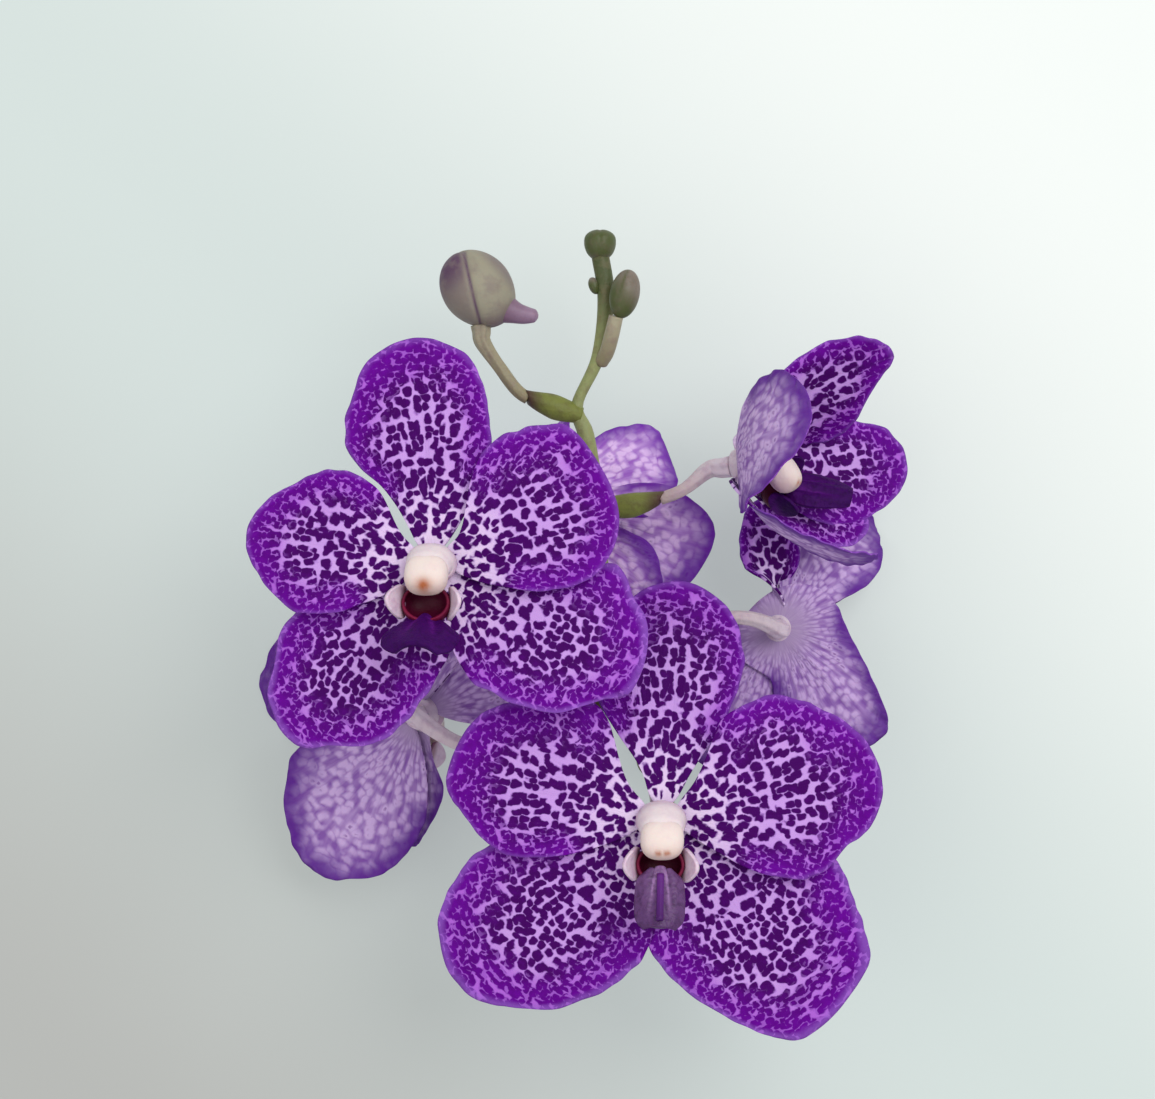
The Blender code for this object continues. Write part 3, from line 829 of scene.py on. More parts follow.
def tube(
    rings: Sequence[Matrix], sides: int, shape: Callable[[float, float], float] | None = None
) -> tuple[Mesh, list[float]]:
    """Build a closed tube through rings.

    Args:
        rings: the rings' matrices.
        sides: how many sides the tube has.
        shape: from an angle and a share of the length, what the radius is multiplied by.

    Returns:
        The tube's mesh, and for each vertex its share of the length.
    """
    bm = bmesh.new()
    layer = bm.verts.layers.float.new("share")
    foot = bmesh.ops.create_circle(bm, cap_ends=True, segments=sides, radius=1.0)["verts"]
    angles = {vert: math.atan2(vert.co.y, vert.co.x) for vert in foot}
    flat = {vert: vert.co.copy() for vert in foot}

    def shaped(vert: bmesh.types.BMVert, share: float, ring: Matrix) -> Vector:
        """Give a ring vertex its place."""
        factor = shape(angles[vert], share) if shape else 1.0
        return ring @ (flat[vert] * factor)

    for vert in foot:
        vert.co = shaped(vert, 0.0, rings[0])
    cap = bm.faces[:] + bm.edges[:] + bm.verts[:]
    last = len(rings) - 1
    for count, ring in enumerate(rings[1:], 1):
        old = [item for item in cap if isinstance(item, bmesh.types.BMVert)]
        cap = bmesh.ops.extrude_face_region(bm, geom=cap)["geom"]
        new = [item for item in cap if isinstance(item, bmesh.types.BMVert)]
        for vert in new:
            twin = min(old, key=lambda other: (other.co - vert.co).length_squared)
            angles[vert], flat[vert] = angles[twin], flat[twin]
        for vert in new:
            vert.co = shaped(vert, count / last, ring)
            vert[layer] = count / last
    bmesh.ops.recalc_face_normals(bm, faces=bm.faces[:])
    return bm, [vert[layer] for vert in bm.verts]


def ball(
    fine: int, centre: Sequence[float] = (0, 0, 0), radii: Sequence[float] = (1, 1, 1),
    turn: Matrix = Matrix(), fullness: float = 2.0,
) -> Mesh:
    """Build an ellipsoid, or a squarer body of its radii.

    Args:
        fine: how many sides it has round.
        centre: its middle.
        radii: its three radii.
        turn: how it is turned about its middle.
        fullness: 2 for an ellipsoid, and more for squarer sides.

    Returns:
        Its mesh.
    """
    bm = bmesh.new()
    shape = placed(centre, turn, radii)
    bmesh.ops.create_uvsphere(bm, u_segments=fine, v_segments=fine * 2 // 3, radius=1.0)
    for vert in bm.verts:
        reach = sum(abs(part) ** fullness for part in vert.co) ** (1 / fullness)
        vert.co = shape @ (vert.co / reach)
    bmesh.ops.recalc_face_normals(bm, faces=bm.faces[:])
    return bm


def plate(
    grid: int, place: Callable[[float, float], Vector]
) -> tuple[Mesh, list[tuple[float, float]]]:
    """Build a thin open sheet, to be given its thickness later.

    Args:
        grid: how many cells it has each way.
        place: from two numbers between -1 and 1, the point there.

    Returns:
        The sheet's mesh, and for each vertex its two numbers.
    """
    bm = bmesh.new()
    bmesh.ops.create_grid(bm, x_segments=grid, y_segments=grid, size=1.0)
    square = [(vert.co.x, vert.co.y) for vert in bm.verts]
    for vert, (x, y) in zip(bm.verts, square):
        vert.co = place(x, y)
    bmesh.ops.recalc_face_normals(bm, faces=bm.faces[:])
    return bm, square


@dataclass(frozen=True)
class Bloom:
    """One open flower, on its own stalk.

    turn is its turn about Y from facing up, and pitch its tip about X, in degrees. route is the
    stalk's line from the stem towards the hub, and bract how long its sheath is. lip_aim
    is the lip's heading in the bloom's plane, lip_tilt how far the midlobe hangs, and lip_form
    its half-widths at MIDLOBE_STATIONS. cap_dots is how far its two dots stand from the middle.
    """

    name: str
    hub: Point
    tepals: tuple[Tepal, ...]
    route: tuple[Point, ...]
    turn: float = 0.0
    pitch: float = 0.0
    grid: int = 56
    lip_aim: float = -92.0
    lip_size: float = 1.0
    lip_width: float = 1.0
    lip_tilt: float = -32.0
    lip_root: Point = (0.0, -11.0, 9.5)
    lip_reach: Point = (0.0, -5.0, 3.2)
    side_skin: Tissue = Tissue.SIDE_LOBE
    lip_form: Widths = (3.0, 4.8, 5.3, 5.4, 5.0, 3.2)
    lip_skin: Tissue = Tissue.MIDLOBE
    cap_dots: float = 1.0
    back: Face = Face.BACK
    bract: float = 12.0

    @property
    def plane(self) -> Matrix:
        """The matrix that carries the bloom's own plane to its place in the spray."""
        return Matrix.Translation(self.hub) @ turned(self.turn, "Y") @ turned(self.pitch, "X")

    @property
    def curve(self) -> list[Vector]:
        """The stalk's smooth line, from the stem to the flat back of the hub."""
        ends = [self.plane @ Vector((0, 0, HUB_BACK - behind)) for behind in APPROACH]
        return smooth_route(list(self.route) + ends)

    def add(
        self, part: str, slot: str, bm: Mesh, skin: Tissue, tones: Sequence[float]
    ) -> bpy.types.Object:
        """Finish a piece of the bloom, for the solid that is named after the slot."""
        node = f"{self.name}_{slot}"
        return finish_piece(f"{self.name}_{part}", bm, node, slot, [skin], tones)

    def build(self) -> None:
        """Build the whole bloom."""
        parts = ("dorsal_sepal", "left_petal", "right_petal", "left_sepal", "right_sepal")
        faces = (Face.DORSAL, Face.PETAL, Face.PETAL, Face.LATERAL, Face.LATERAL)
        for tepal, part, face in zip(self.tepals, parts, faces):
            name, node = f"{self.name}_{part}", f"{self.name}_tepals"
            tepal.build(name, node, self.plane, (face, self.back), self.grid)
        self.build_hub()
        self.build_column()
        self.build_cap()
        self.build_lip()
        ridged_stalk(f"{self.name}_stalk", self.curve, STALK_RADII, self.bract)

    def build_hub(self) -> None:
        """Build the short round hub behind the column."""
        bm = bmesh.new()
        middle = Matrix.Translation((0, 0, (HUB_FRONT + HUB_BACK) / 2))
        bmesh.ops.create_cone(
            bm, cap_ends=True, segments=40, radius1=HUB_RADIUS * 0.62, radius2=HUB_RADIUS * 0.9,
            depth=HUB_FRONT - HUB_BACK, matrix=self.plane @ middle,
        )
        caps = [edge for edge in bm.edges if any(len(face.verts) > 4 for face in edge.link_faces)]
        bmesh.ops.bevel(
            bm, geom=caps, offset=1.1, segments=4, profile=0.5, affect="EDGES", material=-1
        )
        bmesh.ops.recalc_face_normals(bm, faces=bm.faces[:])
        self.add("hub", "tepals", bm, Tissue.STALK, [0.9] * len(bm.verts))

    def build_column(self) -> None:
        """Build the pale column."""
        curve = smooth_route(COLUMN_ROUTE)
        rings = ring_frames(curve, COLUMN_RADII, 0.0, route_length(curve) + 0.6, 20)

        def flanged(angle: float, share: float) -> float:
            """Widen the column to its two sides, and hollow it a little in front."""
            front = bell(angle + math.pi / 2, 0.5)
            return 1 + 0.12 * math.cos(2 * angle) - 0.1 * front * share

        bm, shares = tube([self.plane @ ring for ring in rings], 36, flanged)
        tones = [0.55 * smooth_step(0.45, 0.0, share) for share in shares]
        self.add("column", "column", bm, Tissue.COLUMN, tones)

    def build_cap(self) -> None:
        """Build the hooded anther cap with the dots on its front."""
        bm = ball(40, CAP_CENTRE, CAP_RADII, turned(CAP_TILT, "X"), CAP_FULLNESS)
        size = 1.6 - 0.95 * self.cap_dots
        tones = []
        for vert in bm.verts:
            x, y, z = vert.co
            near = min(math.hypot(x - side * self.cap_dots, y - DOT_HEIGHT) for side in (-1, 1))
            beak = 0.2 * smooth_step(-3.0, -7.0, y)
            tones.append(0.9 * smooth_step(9.6, 11.0, z) * bell(near, size) + beak)
        bmesh.ops.transform(bm, matrix=self.plane, verts=bm.verts[:])
        self.add("anther_cap", "column", bm, Tissue.CAP, tones)

    def build_lip(self) -> None:
        """Build the lip: a dark pouch, two upright side lobes and a ridged midlobe."""
        plane = self.plane @ turned(self.lip_aim + 90, "Z")
        bm = ball(32, POUCH_CENTRE, POUCH_RADII)
        bmesh.ops.bisect_plane(
            bm, geom=bm.verts[:] + bm.edges[:] + bm.faces[:], plane_co=POUCH_MOUTH,
            plane_no=POUCH_SLANT, clear_outer=True,
        )
        tones = [smooth_step(8.8, 6.2, vert.co.z) for vert in bm.verts]
        bmesh.ops.transform(bm, matrix=plane, verts=bm.verts[:])
        thicken(self.add("throat", "lip", bm, Tissue.THROAT, tones), POUCH_WALL)
        for side, label in ((-1, "left"), (1, "right")):
            self.build_side_lobe(side, label, plane)
        self.build_midlobe(plane)

    def build_side_lobe(self, side: int, label: str, plane: Matrix) -> None:
        """Build one upright side lobe, an ear that leans outwards.

        Args:
            side: -1 on the left and 1 on the right.
            label: the side's name.
            plane: the lip's own place.
        """

        def place(x: float, y: float) -> Vector:
            """Carry a point of the square to the lobe."""
            u, v = disc(x, y)
            lean = 1.3 * (1 + v) ** 1.3 + 0.6 * (1 - u * u)
            drop = -9.4 + 3.7 * u * (1 - 0.25 * v)
            return plane @ Vector((side * (4.5 + lean), drop, 8.0 + 3.6 * v))

        bm, square = plate(18, place)
        tones = [0.75 * smooth_step(0.1, -0.7, y) for _, y in square]
        lobe = self.add(f"{label}_side_lobe", "lip", bm, self.side_skin, tones)
        thicken(lobe, SIDE_LOBE_WALL)

    def build_midlobe(self, plane: Matrix) -> None:
        """Build the midlobe: a fleshy tongue with long ridges, its sides bent down.

        Args:
            plane: the lip's own place.
        """
        long = MIDLOBE_HALF * self.lip_size
        middle = Vector(self.lip_root) + Vector(self.lip_reach) * self.lip_size
        tilt = turned(self.lip_tilt, "X")

        def place(x: float, y: float) -> Vector:
            """Carry a point of the square to the midlobe."""
            share = (1 - y) / 2
            half = hermite(MIDLOBE_STATIONS, self.lip_form, share) * self.lip_width
            ridge = 0.45 * math.cos(x * math.pi * 3) * (1 - x * x) * (1 - share * share)
            bend = ridge - 1.9 * x * x * self.lip_width - 0.8 * share * share
            down = y * long * (1 - 0.084 * x * x)
            return plane @ (middle + tilt @ Vector((x * half, down, bend)))

        bm, square = plate(40, place)
        tones = []
        for x, y in square:
            crest = bell(abs(x) - 0.32 + 0.2 * y, 0.1)
            tones.append(0.75 * crest * smooth_step(-0.9, 0.6, y) + 0.12 * (1 + y))
        thicken(self.add("midlobe", "lip", bm, self.lip_skin, tones), MIDLOBE_WALL)
        if self.lip_skin is Tissue.DARK_MIDLOBE:
            return

        def stripe(x: float, y: float) -> Vector:
            """Carry a point of the square to the raised stripe along the midlobe."""
            high = 0.95 + 0.35 * (1 - x * x) - 0.25 * (1 - y)
            return plane @ (middle + tilt @ Vector((x * 0.55, y * long * 0.78 - 0.5, high)))

        bm, square = plate(14, stripe)
        tones = [0.5 - 0.5 * y for _, y in square]
        thicken(self.add("midlobe_stripe", "lip", bm, Tissue.STRIPE, tones), STRIPE_WALL)


def ridged_stalk(
    name: str, curve: Sequence[Vector], radii: Sequence[float], start: float,
    skin: Tissue = Tissue.STALK, beyond: float = 0.0,
) -> None:
    """Build a six-ridged stalk along a curve.

    Args:
        name: the piece's name, which is its solid's name too.
        curve: the curve's points.
        radii: its radii.
        start: where its bract ends.
        skin: its finish.
        beyond: how far it runs on past the curve's end.
    """
    length = route_length(curve) + beyond
    rings = ring_frames(curve, radii, start + SEAT_GAP - 1.0, length, 44, 60)

    def ridged(angle: float, share: float) -> float:
        """Draw the stalk in between its ridges, more so towards the bloom."""
        depth = 0.06 + 0.12 * share
        return 1.0 - depth * (0.5 - 0.5 * math.cos(6 * angle))

    bm, shares = tube(rings, 36, ridged)
    finish_piece(name, bm, name, "stalk", [skin], shares)


def scaled(widths: Widths, factor: float) -> Widths:
    """Half-widths made wider or narrower by one factor."""
    return tuple(width * factor for width in widths)


SEPAL_SIDE = (6.0, 11.5, 15.5, 16.0, 14.0, 10.0)
PETAL_TOP = (6.0, 15.0, 19.0, 19.0, 16.0, 11.0)
PETAL_FOOT = (6.5, 11.5, 15.0, 16.0, 13.0, 8.5)
LATERAL_IN = (10.0, 15.5, 17.5, 17.0, 14.0, 9.0)
LATERAL_OUT = (7.5, 12.5, 17.0, 18.0, 15.5, 11.0)

BLOOM_A = Bloom(
    name="bloom_a", hub=(-32.6, -3.7, 72.0), turn=-6.0, pitch=-9.0,
    tepals=(
        Tepal(96, 53.5, (5, 9.5, 17, 17.5, 15.5, 11.5), (7, 12.5, 15.5, 15.5, 14, 10.5),
              lift=2, bend=-8, cup=-1.5, phase=0.6),
        Tepal(171, 43.5, (7, 11.5, 14.5, 15.5, 12.5, 7.5), (5.5, 14.5, 18, 17.5, 14, 9.5),
              lift=7, bend=-16, cup=-1.5, phase=2.0, depth=PETAL_DEPTH),
        Tepal(20, 44.0, (4.5, 16, 22, 22.5, 21.5, 18), (6.5, 11, 14, 15.5, 14, 9.5),
              lift=7, bend=-16, cup=-1.5, phase=1.0, depth=PETAL_DEPTH),
        Tepal(-129, 51.5, (12.5, 16.5, 17.5, 17, 13.5, 6), (6.5, 11.5, 18, 18.5, 15, 11),
              lift=-2, bend=-12, cup=-1.5, phase=2.6),
        Tepal(-31, 53.0, (6.5, 9.5, 14.5, 21.5, 17.5, 13), (10, 16, 17.5, 16, 12.5, 5),
              lift=-2, bend=-6, cup=-1.5, wave=1.3, waves=4, phase=0.4),
    ),
    route=((6.6, -12.0, 38.5), (-4.0, -10.0, 44.0), (-20.0, -9.0, 55.0)), lip_width=1.45,
    lip_tilt=-62.0, lip_form=(3.4, 4.8, 5.6, 5.7, 5.0, 3.2), lip_skin=Tissue.DARK_MIDLOBE,
    cap_dots=0.0,
)

BLOOM_B = Bloom(
    name="bloom_b", hub=(19.0, -61.6, 66.0),
    tepals=(
        Tepal(84, 55.5, (5.2, 12.2, 18, 18.5, 15.5, 11.5), (5.2, 9.8, 13.5, 15.5, 14.5, 10.5),
              lift=-4, bend=-16, cup=-1.5, phase=1.0),
        Tepal(168, 50.0, (6.5, 11, 14, 15, 12, 7), (6.6, 20.2, 23.2, 20.5, 18.5, 14),
              lift=7, bend=-18, cup=-1.5, phase=2.2, depth=PETAL_DEPTH),
        Tepal(10, 51.5, (7.6, 20, 23.6, 22.5, 18, 12.5), (7.5, 14, 18, 18, 13, 10),
              lift=7, bend=-18, cup=-1.5, phase=0.5, depth=PETAL_DEPTH),
        Tepal(-140, 61.0, (12.5, 20.5, 22, 21, 18, 10.5), (8.5, 13.5, 19, 21, 18.5, 13.5),
              lift=-2, bend=-12, cup=-1.5, phase=1.2),
        Tepal(-55, 61.5, (15, 23, 28, 26.5, 24, 19.5), (11.5, 18.5, 19, 16.5, 13, 8),
              lift=-2, bend=-12, cup=-1.5, phase=2.0),
    ),
    route=((17.6, -48.0, 27.5), (17.0, -52.0, 36.0), (18.5, -58.0, 50.0)),
)

BLOOM_C = Bloom(
    name="bloom_c", hub=(38.7, 19.9, 45.0), turn=70.0, pitch=-8.0,
    tepals=(
        Tepal(70, 48.0, scaled(SEPAL_SIDE, 0.6), (6.6, 12.5, 15.5, 13.0, 8.0, 4.4),
              lift=55, bend=22, twist=-46, wave=1.4, phase=0.5),
        Tepal(172, 43.0, (8.5, 13.5, 16, 16, 13, 8.5), scaled(PETAL_TOP, 0.9),
              lift=20, bend=46, twist=-30, phase=1.0, depth=PETAL_DEPTH),
        Tepal(-6, 48.0, (5, 9, 11.5, 12, 11, 8.5), scaled(PETAL_FOOT, 0.9),
              lift=38, bend=14, phase=1.5, depth=PETAL_DEPTH),
        Tepal(-108, 46.0, (3, 4, 5.5, 8, 9, 7), (11, 13, 12.5, 11.5, 9.5, 6),
              lift=26, bend=60, phase=0.3),
        Tepal(-34, 40.0, scaled(LATERAL_OUT, 0.7), (3, 5.5, 8, 9, 8, 6),
              lift=28, bend=26, phase=2.2),
    ),
    route=((5.1, 10.0, 42.0), (14.0, 10.6, 45.0), (24.0, 13.6, 46.5)), lip_aim=-42, lip_size=1.1,
    lip_width=0.9, lip_tilt=-68.0, lip_root=(0, -9.5, 8.5), lip_reach=(0, -1.5, 6.5),
    side_skin=Tissue.DARK_MIDLOBE, lip_form=(3.4, 5.0, 5.7, 5.2, 4.2, 2.8),
    lip_skin=Tissue.DARK_MIDLOBE, bract=16.0,
)

BLOOM_D = Bloom(
    name="bloom_d", hub=(48.6, -19.0, 24.0), turn=176.0,
    tepals=(
        Tepal(84, 33.0, scaled(SEPAL_SIDE, 0.45), scaled(SEPAL_SIDE, 0.45), lift=8, bend=20,
              twist=-168, turned_by=0.4),
        Tepal(126, 46.5, scaled(PETAL_FOOT, 0.75), scaled(PETAL_TOP, 0.9), lift=28, bend=24,
              depth=PETAL_DEPTH),
        Tepal(-14, 44.0, (4, 7, 11, 12, 11, 8), PETAL_TOP, lift=24, bend=26, depth=PETAL_DEPTH),
        Tepal(-68, 40.0, LATERAL_OUT, LATERAL_IN, lift=0.5, bend=22, phase=1.0),
        Tepal(-135, 38.0, (10, 14, 15.5, 14.5, 12, 8), (13.6, 11.5, 9.4, 7.2, 5.4, 3.4),
              lift=0.5, bend=22, phase=2.0, depth=-1.8, start=-8.0, claw=22.0),
    ),
    route=((8.2, -24.0, 35.5), (18.0, -18.0, 43.0), (38.0, -16.0, 44.0)), grid=44, lip_aim=-98,
    lip_size=0.8,
)

BLOOM_E = Bloom(
    name="bloom_e", hub=(-6.1, 10.5, 30.0), turn=160.0,
    tepals=(
        Tepal(142, 35.0, SEPAL_SIDE, scaled(SEPAL_SIDE, 0.5), lift=30, bend=24),
        Tepal(192, 40.0, PETAL_TOP, scaled(PETAL_FOOT, 0.65), lift=16, bend=14,
              depth=PETAL_DEPTH),
        Tepal(54, 37.5, scaled(PETAL_FOOT, 0.8), PETAL_FOOT, lift=35, bend=46,
              depth=PETAL_DEPTH),
        Tepal(-128, 36.0, scaled(LATERAL_IN, 0.7), scaled(LATERAL_OUT, 0.7), lift=8, bend=20),
        Tepal(-30, 40.0, scaled(LATERAL_OUT, 0.8), scaled(LATERAL_IN, 0.8), lift=26, bend=60),
    ),
    route=((5.1, -4.0, 39.5), (-2.0, -6.0, 45.0), (-6.5, 2.0, 45.0)), grid=44,
    # Painted light: this bloom's back is painted lighter, as it lies in the shade of the blooms
    # above.
    back=Face.PAINTED_LIGHT_BACK, lip_aim=-79, lip_size=0.8,
)

BLOOM_F = Bloom(
    name="bloom_f", hub=(-38.2, -39.9, 25.0), turn=176.0,
    tepals=(
        Tepal(88, 44.0, SEPAL_SIDE, SEPAL_SIDE, lift=22, bend=20),
        Tepal(150, 42.0, PETAL_FOOT, PETAL_TOP, lift=10, bend=20, depth=PETAL_DEPTH),
        Tepal(14, 54.5, PETAL_TOP, PETAL_FOOT, lift=28, bend=20, depth=PETAL_DEPTH),
        Tepal(-85, 34.0, LATERAL_OUT, (3, 4.5, 7, 6.5, 4.5, 2.5), lift=3.5, bend=22, depth=0.2),
        Tepal(-55, 48.5, (9, 16, 19.5, 18, 14.5, 9.5), (8, 14, 16.5, 16.5, 14, 8),
              lift=0.5, bend=22, depth=-1.4),
    ),
    route=((11.5, -33.0, 32.5), (-2.0, -40.0, 40.0), (-24.0, -46.5, 43.0)), grid=44, lip_aim=-70,
    lip_size=0.8,
)

BLOOMS = (BLOOM_A, BLOOM_B, BLOOM_C, BLOOM_D, BLOOM_E, BLOOM_F)


@dataclass(frozen=True)
class LargeBud:
    """The large bud with its short spur, on a bent stalk."""

    centre: Point = (-23.4, 61.2, 45.0)
    radii: Point = (8.3, 10.0, 8.0)
    tilt: float = 42.0
    bract: float = 14.0
    stalk_radii: Widths = (1.5, 1.6, 1.8, 2.4)
    route: tuple[Point, ...] = (
        (0.9, 31.6, 43.3), (-5.6, 33.6, 44.0), (-13.1, 36.5, 44.5),
        (-18.2, 42.7, 45.0), (-22.2, 48.6, 45.0), (-22.6, 51.2, 45.0),
    )
    spur: tuple[Point, ...] = ((-18, 57, 45.5), (-13.5, 55.3, 46), (-9.5, 54.8, 46))
    spur_radii: Widths = (3.9, 3.2, 2.5, 2.1, 1.6)
    spur_tip: Widths = (1.5, 1.1, 0.4)

    @property
    def curve(self) -> list[Vector]:
        """The stalk's smooth line."""
        return smooth_route(self.route)

    def build(self) -> None:
        """Build the bud, its spur and its stalk."""
        bm = ball(96)
        tones = []
        for vert in bm.verts:
            x, y, z = vert.co
            upper = smooth_step(-0.5, 0.3, z)
            off = x - 0.69 * y + 0.19 + (1 - upper) * (1.19 * y - 0.29)
            vert.co *= 1 - 0.045 * bell(off, 0.1)
            vert.co.x *= 1 - 0.07 * smooth_step(0.2, -1.0, y)
            flush = smooth_step(0.05, -0.25, off) * (0.3 + 0.65 * smooth_step(-0.1, 0.9, y))
            foot = 0.5 * smooth_step(-0.6, -1.0, y) + 0.45 * smooth_step(0.55, 0.95, x) * upper
            tones.append(min(1.0, 0.85 * bell(off, 0.055) + flush + foot))
        place = placed(self.centre, turned(self.tilt, "Z"), self.radii)
        bmesh.ops.transform(bm, matrix=place, verts=bm.verts[:])
        finish_piece("large_bud", bm, "large_bud", "bud", [Tissue.BUD], tones)
        line = smooth_route(self.spur)
        length = route_length(line)
        rings = ring_frames(line, self.spur_radii, 0.0, length - 0.6, 20)
        rings += ring_frames(line, self.spur_tip, length - 0.4, length + 0.3, 3)
        bm, shares = tube(rings, 22)
        finish_piece("large_bud_spur", bm, "large_bud", "bud", [Tissue.SPUR], shares)
        skin = Tissue.BUD_STALK
        ridged_stalk("large_bud_stalk", self.curve, self.stalk_radii, self.bract, skin, 1.6)


@dataclass(frozen=True)
class Stem:
    """The stem with its bracts, the small bud and the blunt bud at its tip."""

    route: tuple[Point, ...] = (
        (19.3, -93.0, 2.8), (20.3, -84.0, 4.0), (21.1, -66.1, 15.0), (18.0, -48.4, 26.0),
        (10.7, -31.2, 33.0), (6.8, -14.4, 38.0), (4.9, -2.5, 40.0), (5.1, 10.5, 42.0),
        (3.2, 19.9, 42.5), (1.8, 27.7, 43.0), (-0.1, 34.1, 43.5), (4.8, 45.3, 44.0),
        (6.7, 58.7, 45.0), (5.3, 69.5, 45.0),
    )
    radii: Widths = (
        3.1, 3.05, 3.0, 3.0, 2.95, 2.9, 2.85, 2.8, 2.7, 2.6, 2.5, 2.4, 2.3, 2.2, 2.1, 1.95,
        1.35, 1.5, 1.75, 2.1, 2.1,
    )
    small_route: tuple[Point, ...] = (
        (5.6, 44.2, 44.2), (6.9, 46.4, 46.8), (8.0, 50.2, 49.4), (9.0, 54.4, 50.3),
    )
    small_radii: Widths = (1.7, 1.8, 1.7)
    tip: Point = (5.3, 71.6, 45.0)
    scale: Point = (3.9, 62.0, 45.4)
    scale_radii: Point = (1.3, 2.1, 1.6)
    small_bud: Point = (11.0, 59.6, 50.7)
    small_bud_radii: Point = (3.5, 5.8, 3.5)

    def add(self, name: str, bm: Mesh, skin: Tissue, tones: Sequence[float]) -> None:
        """Finish a piece that belongs to the stem's own solid."""
        finish_piece(name, bm, "flower_stem", "stem", [skin], tones)

    def build(self, large_bud: LargeBud) -> None:
        """Build the stem and all that grows from it.

        Args:
            large_bud: the bud whose bract the stem carries.
        """
        curve = smooth_route(self.route)
        rings = ring_frames(curve, self.radii, 0.0, route_length(curve), 120)

        def knotted(angle: float, share: float) -> float:
            """Swell the stem slightly, unevenly along it."""
            where = Vector((math.cos(angle), math.sin(angle), share * 14))
            return 1.0 + 0.05 * noise.noise(where)

        bm, shares = tube(rings, 28, knotted)
        for vert in bm.verts:
            vert.co.z = max(vert.co.z, 0.0)
        tones = [smooth_step(0.87, 0.97, share) for share in shares]
        self.add("flower_stem", bm, Tissue.STEM, tones)
        for bloom in BLOOMS:
            self.build_bract(f"{bloom.name}_bract", bloom.curve, bloom.bract)
        self.build_bract("large_bud_bract", large_bud.curve, large_bud.bract)
        short = smooth_route(self.small_route)
        bm, shares = tube(ring_frames(short, self.small_radii, 0.0, route_length(short), 24), 24)
        self.add("small_bud_stalk", bm, Tissue.BUD_STALK, shares)
        self.build_tip()
        self.build_small_bud()

    def build_bract(self, name: str, curve: Sequence[Vector], length: float) -> None:
        """Build the sheath at a stalk's foot, with a slanted mouth and brown edges.

        Args:
            name: the piece's name.
            curve: the stalk's line.
            length: how far the sheath reaches along it.
        """
        rings = []
        plain = ring_frames(curve, BRACT_RADII, 0.0, length - 0.5, BRACT_RINGS)
        for count, ring in enumerate(plain):
            radius = ring.col[0].length
            size = Matrix.Diagonal((radius, radius, 1.0, 1.0))
            slant = turned(BRACT_SLANT * (count / (BRACT_RINGS - 1)) ** 3, "X")
            rings.append(ring @ size.inverted() @ slant @ size)
        bm, shares = tube(rings, 30)
        self.add(name, bm, Tissue.BRACT, [smooth_step(0.66, 0.98, share) for share in shares])

    def build_tip(self) -> None:
        """Build the blunt bud at the stem's tip, with a scale at its foot."""
        bm = ball(36)
        for vert in bm.verts:
            x, y, z = vert.co
            wide = 3.6 * (1 + 0.1 * smooth_step(-0.4, 0.6, y))
            flat = 3.7 * (y**0.72 if y > 0 else y)
            body = Vector((x * wide, flat, z * wide)) * (1 - 0.05 * bell(x, 0.12))
            vert.co = Vector(self.tip) + body
        tones = [0.5 * smooth_step(69.5, 68.0, vert.co.y) for vert in bm.verts]
        self.add("tip_bud", bm, Tissue.GREEN_BUD, tones)
        bm = ball(20, self.scale, self.scale_radii, turned(20, "Z"))
        tones = [smooth_step(62, 64, vert.co.y) for vert in bm.verts]
        self.add("tip_scale", bm, Tissue.GREEN_BUD, tones)

    def build_small_bud(self) -> None:
        """Build the small bud beside the tip."""
        bm = ball(40)
        tones = []
        for vert in bm.verts:
            x, y, z = vert.co
            seam = bell(x + 0.35 - 0.2 * y, 0.07) * (z > 0)
            vert.co *= 1 - 0.04 * seam
            tones.append(max(0.0, 0.9 * smooth_step(-0.5, 0.8, y + 0.5 * x) - 0.8 * seam))
        place = placed(self.small_bud, turned(-12, "Z"), self.small_bud_radii)
        bmesh.ops.transform(bm, matrix=place, verts=bm.verts[:])
        finish_piece("small_bud", bm, "small_bud", "bud", [Tissue.GREEN_BUD], tones)


@dataclass(frozen=True)
class Lamp:
    """A round soft light that points at the spray, sized in metres and watts."""

    name: str
    place: Point
    size: float
    power: float

    def build(self) -> None:
        """Hang the light."""
        data = bpy.data.lights.new(self.name, "AREA")
        data.shape = "DISK"
        data.size = self.size
        data.energy = self.power
        light = link(self.name, data)
        light.location = self.place
        light.rotation_euler = (-Vector(self.place)).to_track_quat("-Z", "Y").to_euler()


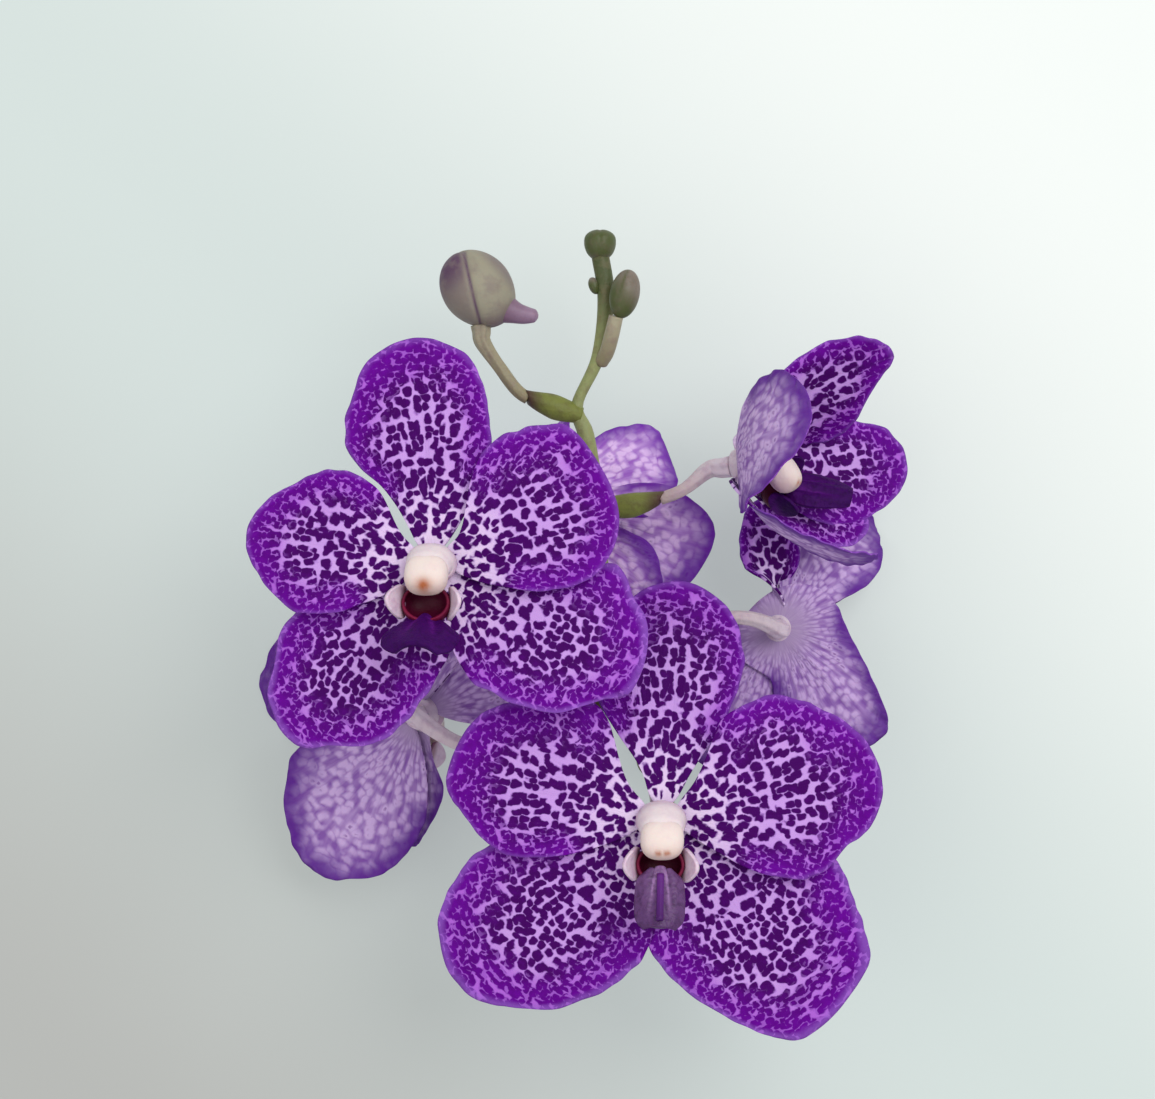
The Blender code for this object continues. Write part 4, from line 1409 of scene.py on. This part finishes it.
@dataclass(frozen=True)
class Studio:
    """The pale floor with its painted light, the soft lights and the camera above the spray.

    fade is how far the floor takes, in metres, from its middle tone to its painted shade, darkest
    at the lower left, and its painted light, lightest at the upper right. The floor also glows a
    little, which pales the shadows cast on it.
    """

    lamps: tuple[Lamp, ...] = (
        Lamp("key_light", (0.7, 0.65, 1.5), 1.2, 15.0),
        Lamp("fill_light", (-0.9, -0.2, 1.3), 1.6, 5.0),
    )
    sky: Colour = (0.95, 0.98, 0.97)
    sky_strength: float = 0.64
    floor_half: float = 3.0
    # Painted light on the floor: how strongly it glows so that cast shadows stay pale, and its
    # colours from painted shade at the lower left to painted light at the upper right.
    floor_painted_glow: float = 0.46
    floor_painted_shade: Colour = srgb(186, 187, 184)
    floor_middle: Colour = srgb(216, 226, 223)
    floor_painted_light: Colour = srgb(246, 250, 247)
    fade: float = 0.25

    def build(self) -> None:
        """Build the floor, lights and camera."""
        self.build_floor()
        for lamp in self.lamps:
            lamp.build()
        self.build_sky()
        self.build_camera()

    def build_floor(self) -> None:
        """Lay a pale floor with painted light: lighter to the upper right, darker to the lower
        left, and glowing so that the shadows cast on it stay pale.
        """
        bm = bmesh.new()
        bmesh.ops.create_grid(bm, x_segments=1, y_segments=1, size=self.floor_half)
        mesh = bpy.data.meshes.new("floor")
        bm.to_mesh(mesh)
        bm.free()
        floor = link("floor", mesh)
        brush = Painter("floor_with_painted_light")
        right, up = brush.split(brush.place)
        # Painted light and shade: the floor's colour runs lighter towards the upper right and
        # darker towards the lower left.
        slant = right + up + brush.cloud(12.0, 1.0) * 0.01
        low = brush.blend(slant.rise(-self.fade, 0.0), self.floor_painted_shade, self.floor_middle)
        colour = brush.blend(slant.rise(0.0, self.fade), low, self.floor_painted_light)
        # Painted light: the floor glows, so that the shadows cast on it stay pale.
        brush.feed(brush.shader.inputs["Emission Color"], colour)
        brush.feed(brush.shader.inputs["Emission Strength"], self.floor_painted_glow)
        half = brush.blend(0.5, (0.0, 0.0, 0.0), colour)
        mesh.materials.append(brush.dress(half, 0.9, gloss=0.0))

    def build_sky(self) -> None:
        """Spread an even pale light all round, with plain view colours."""
        world = bpy.data.worlds.new("sky")
        bpy.context.scene.world = world
        world.use_nodes = True
        sky = world.node_tree.nodes["Background"]
        sky.inputs["Color"].default_value = (*self.sky, 1.0)
        sky.inputs["Strength"].default_value = self.sky_strength
        bpy.context.scene.view_settings.view_transform = "Standard"

    def build_camera(self) -> None:
        """Set the camera straight above the spray, as far off as the photograph's."""
        data = bpy.data.cameras.new("camera")
        data.sensor_width = SENSOR_WIDTH
        width = PHOTO_WIDTH * MM_PER_PIXEL
        data.lens = SENSOR_WIDTH * (CAMERA_HEIGHT - BLOOM_HEIGHT) / width
        data.clip_start = 0.01
        camera = link("camera", data)
        camera.location = Vector((-CENTRE.x, -CENTRE.y, CAMERA_HEIGHT)) * METRES
        bpy.context.scene.camera = camera


def main() -> None:
    """Build the whole scene."""
    logging.basicConfig(level=logging.INFO)
    Studio().build()
    for bloom in BLOOMS:
        bloom.build()
        LOG.info("%s built", bloom.name)
    bud = LargeBud()
    bud.build()
    Stem().build(bud)


if __name__ == "__main__":
    main()
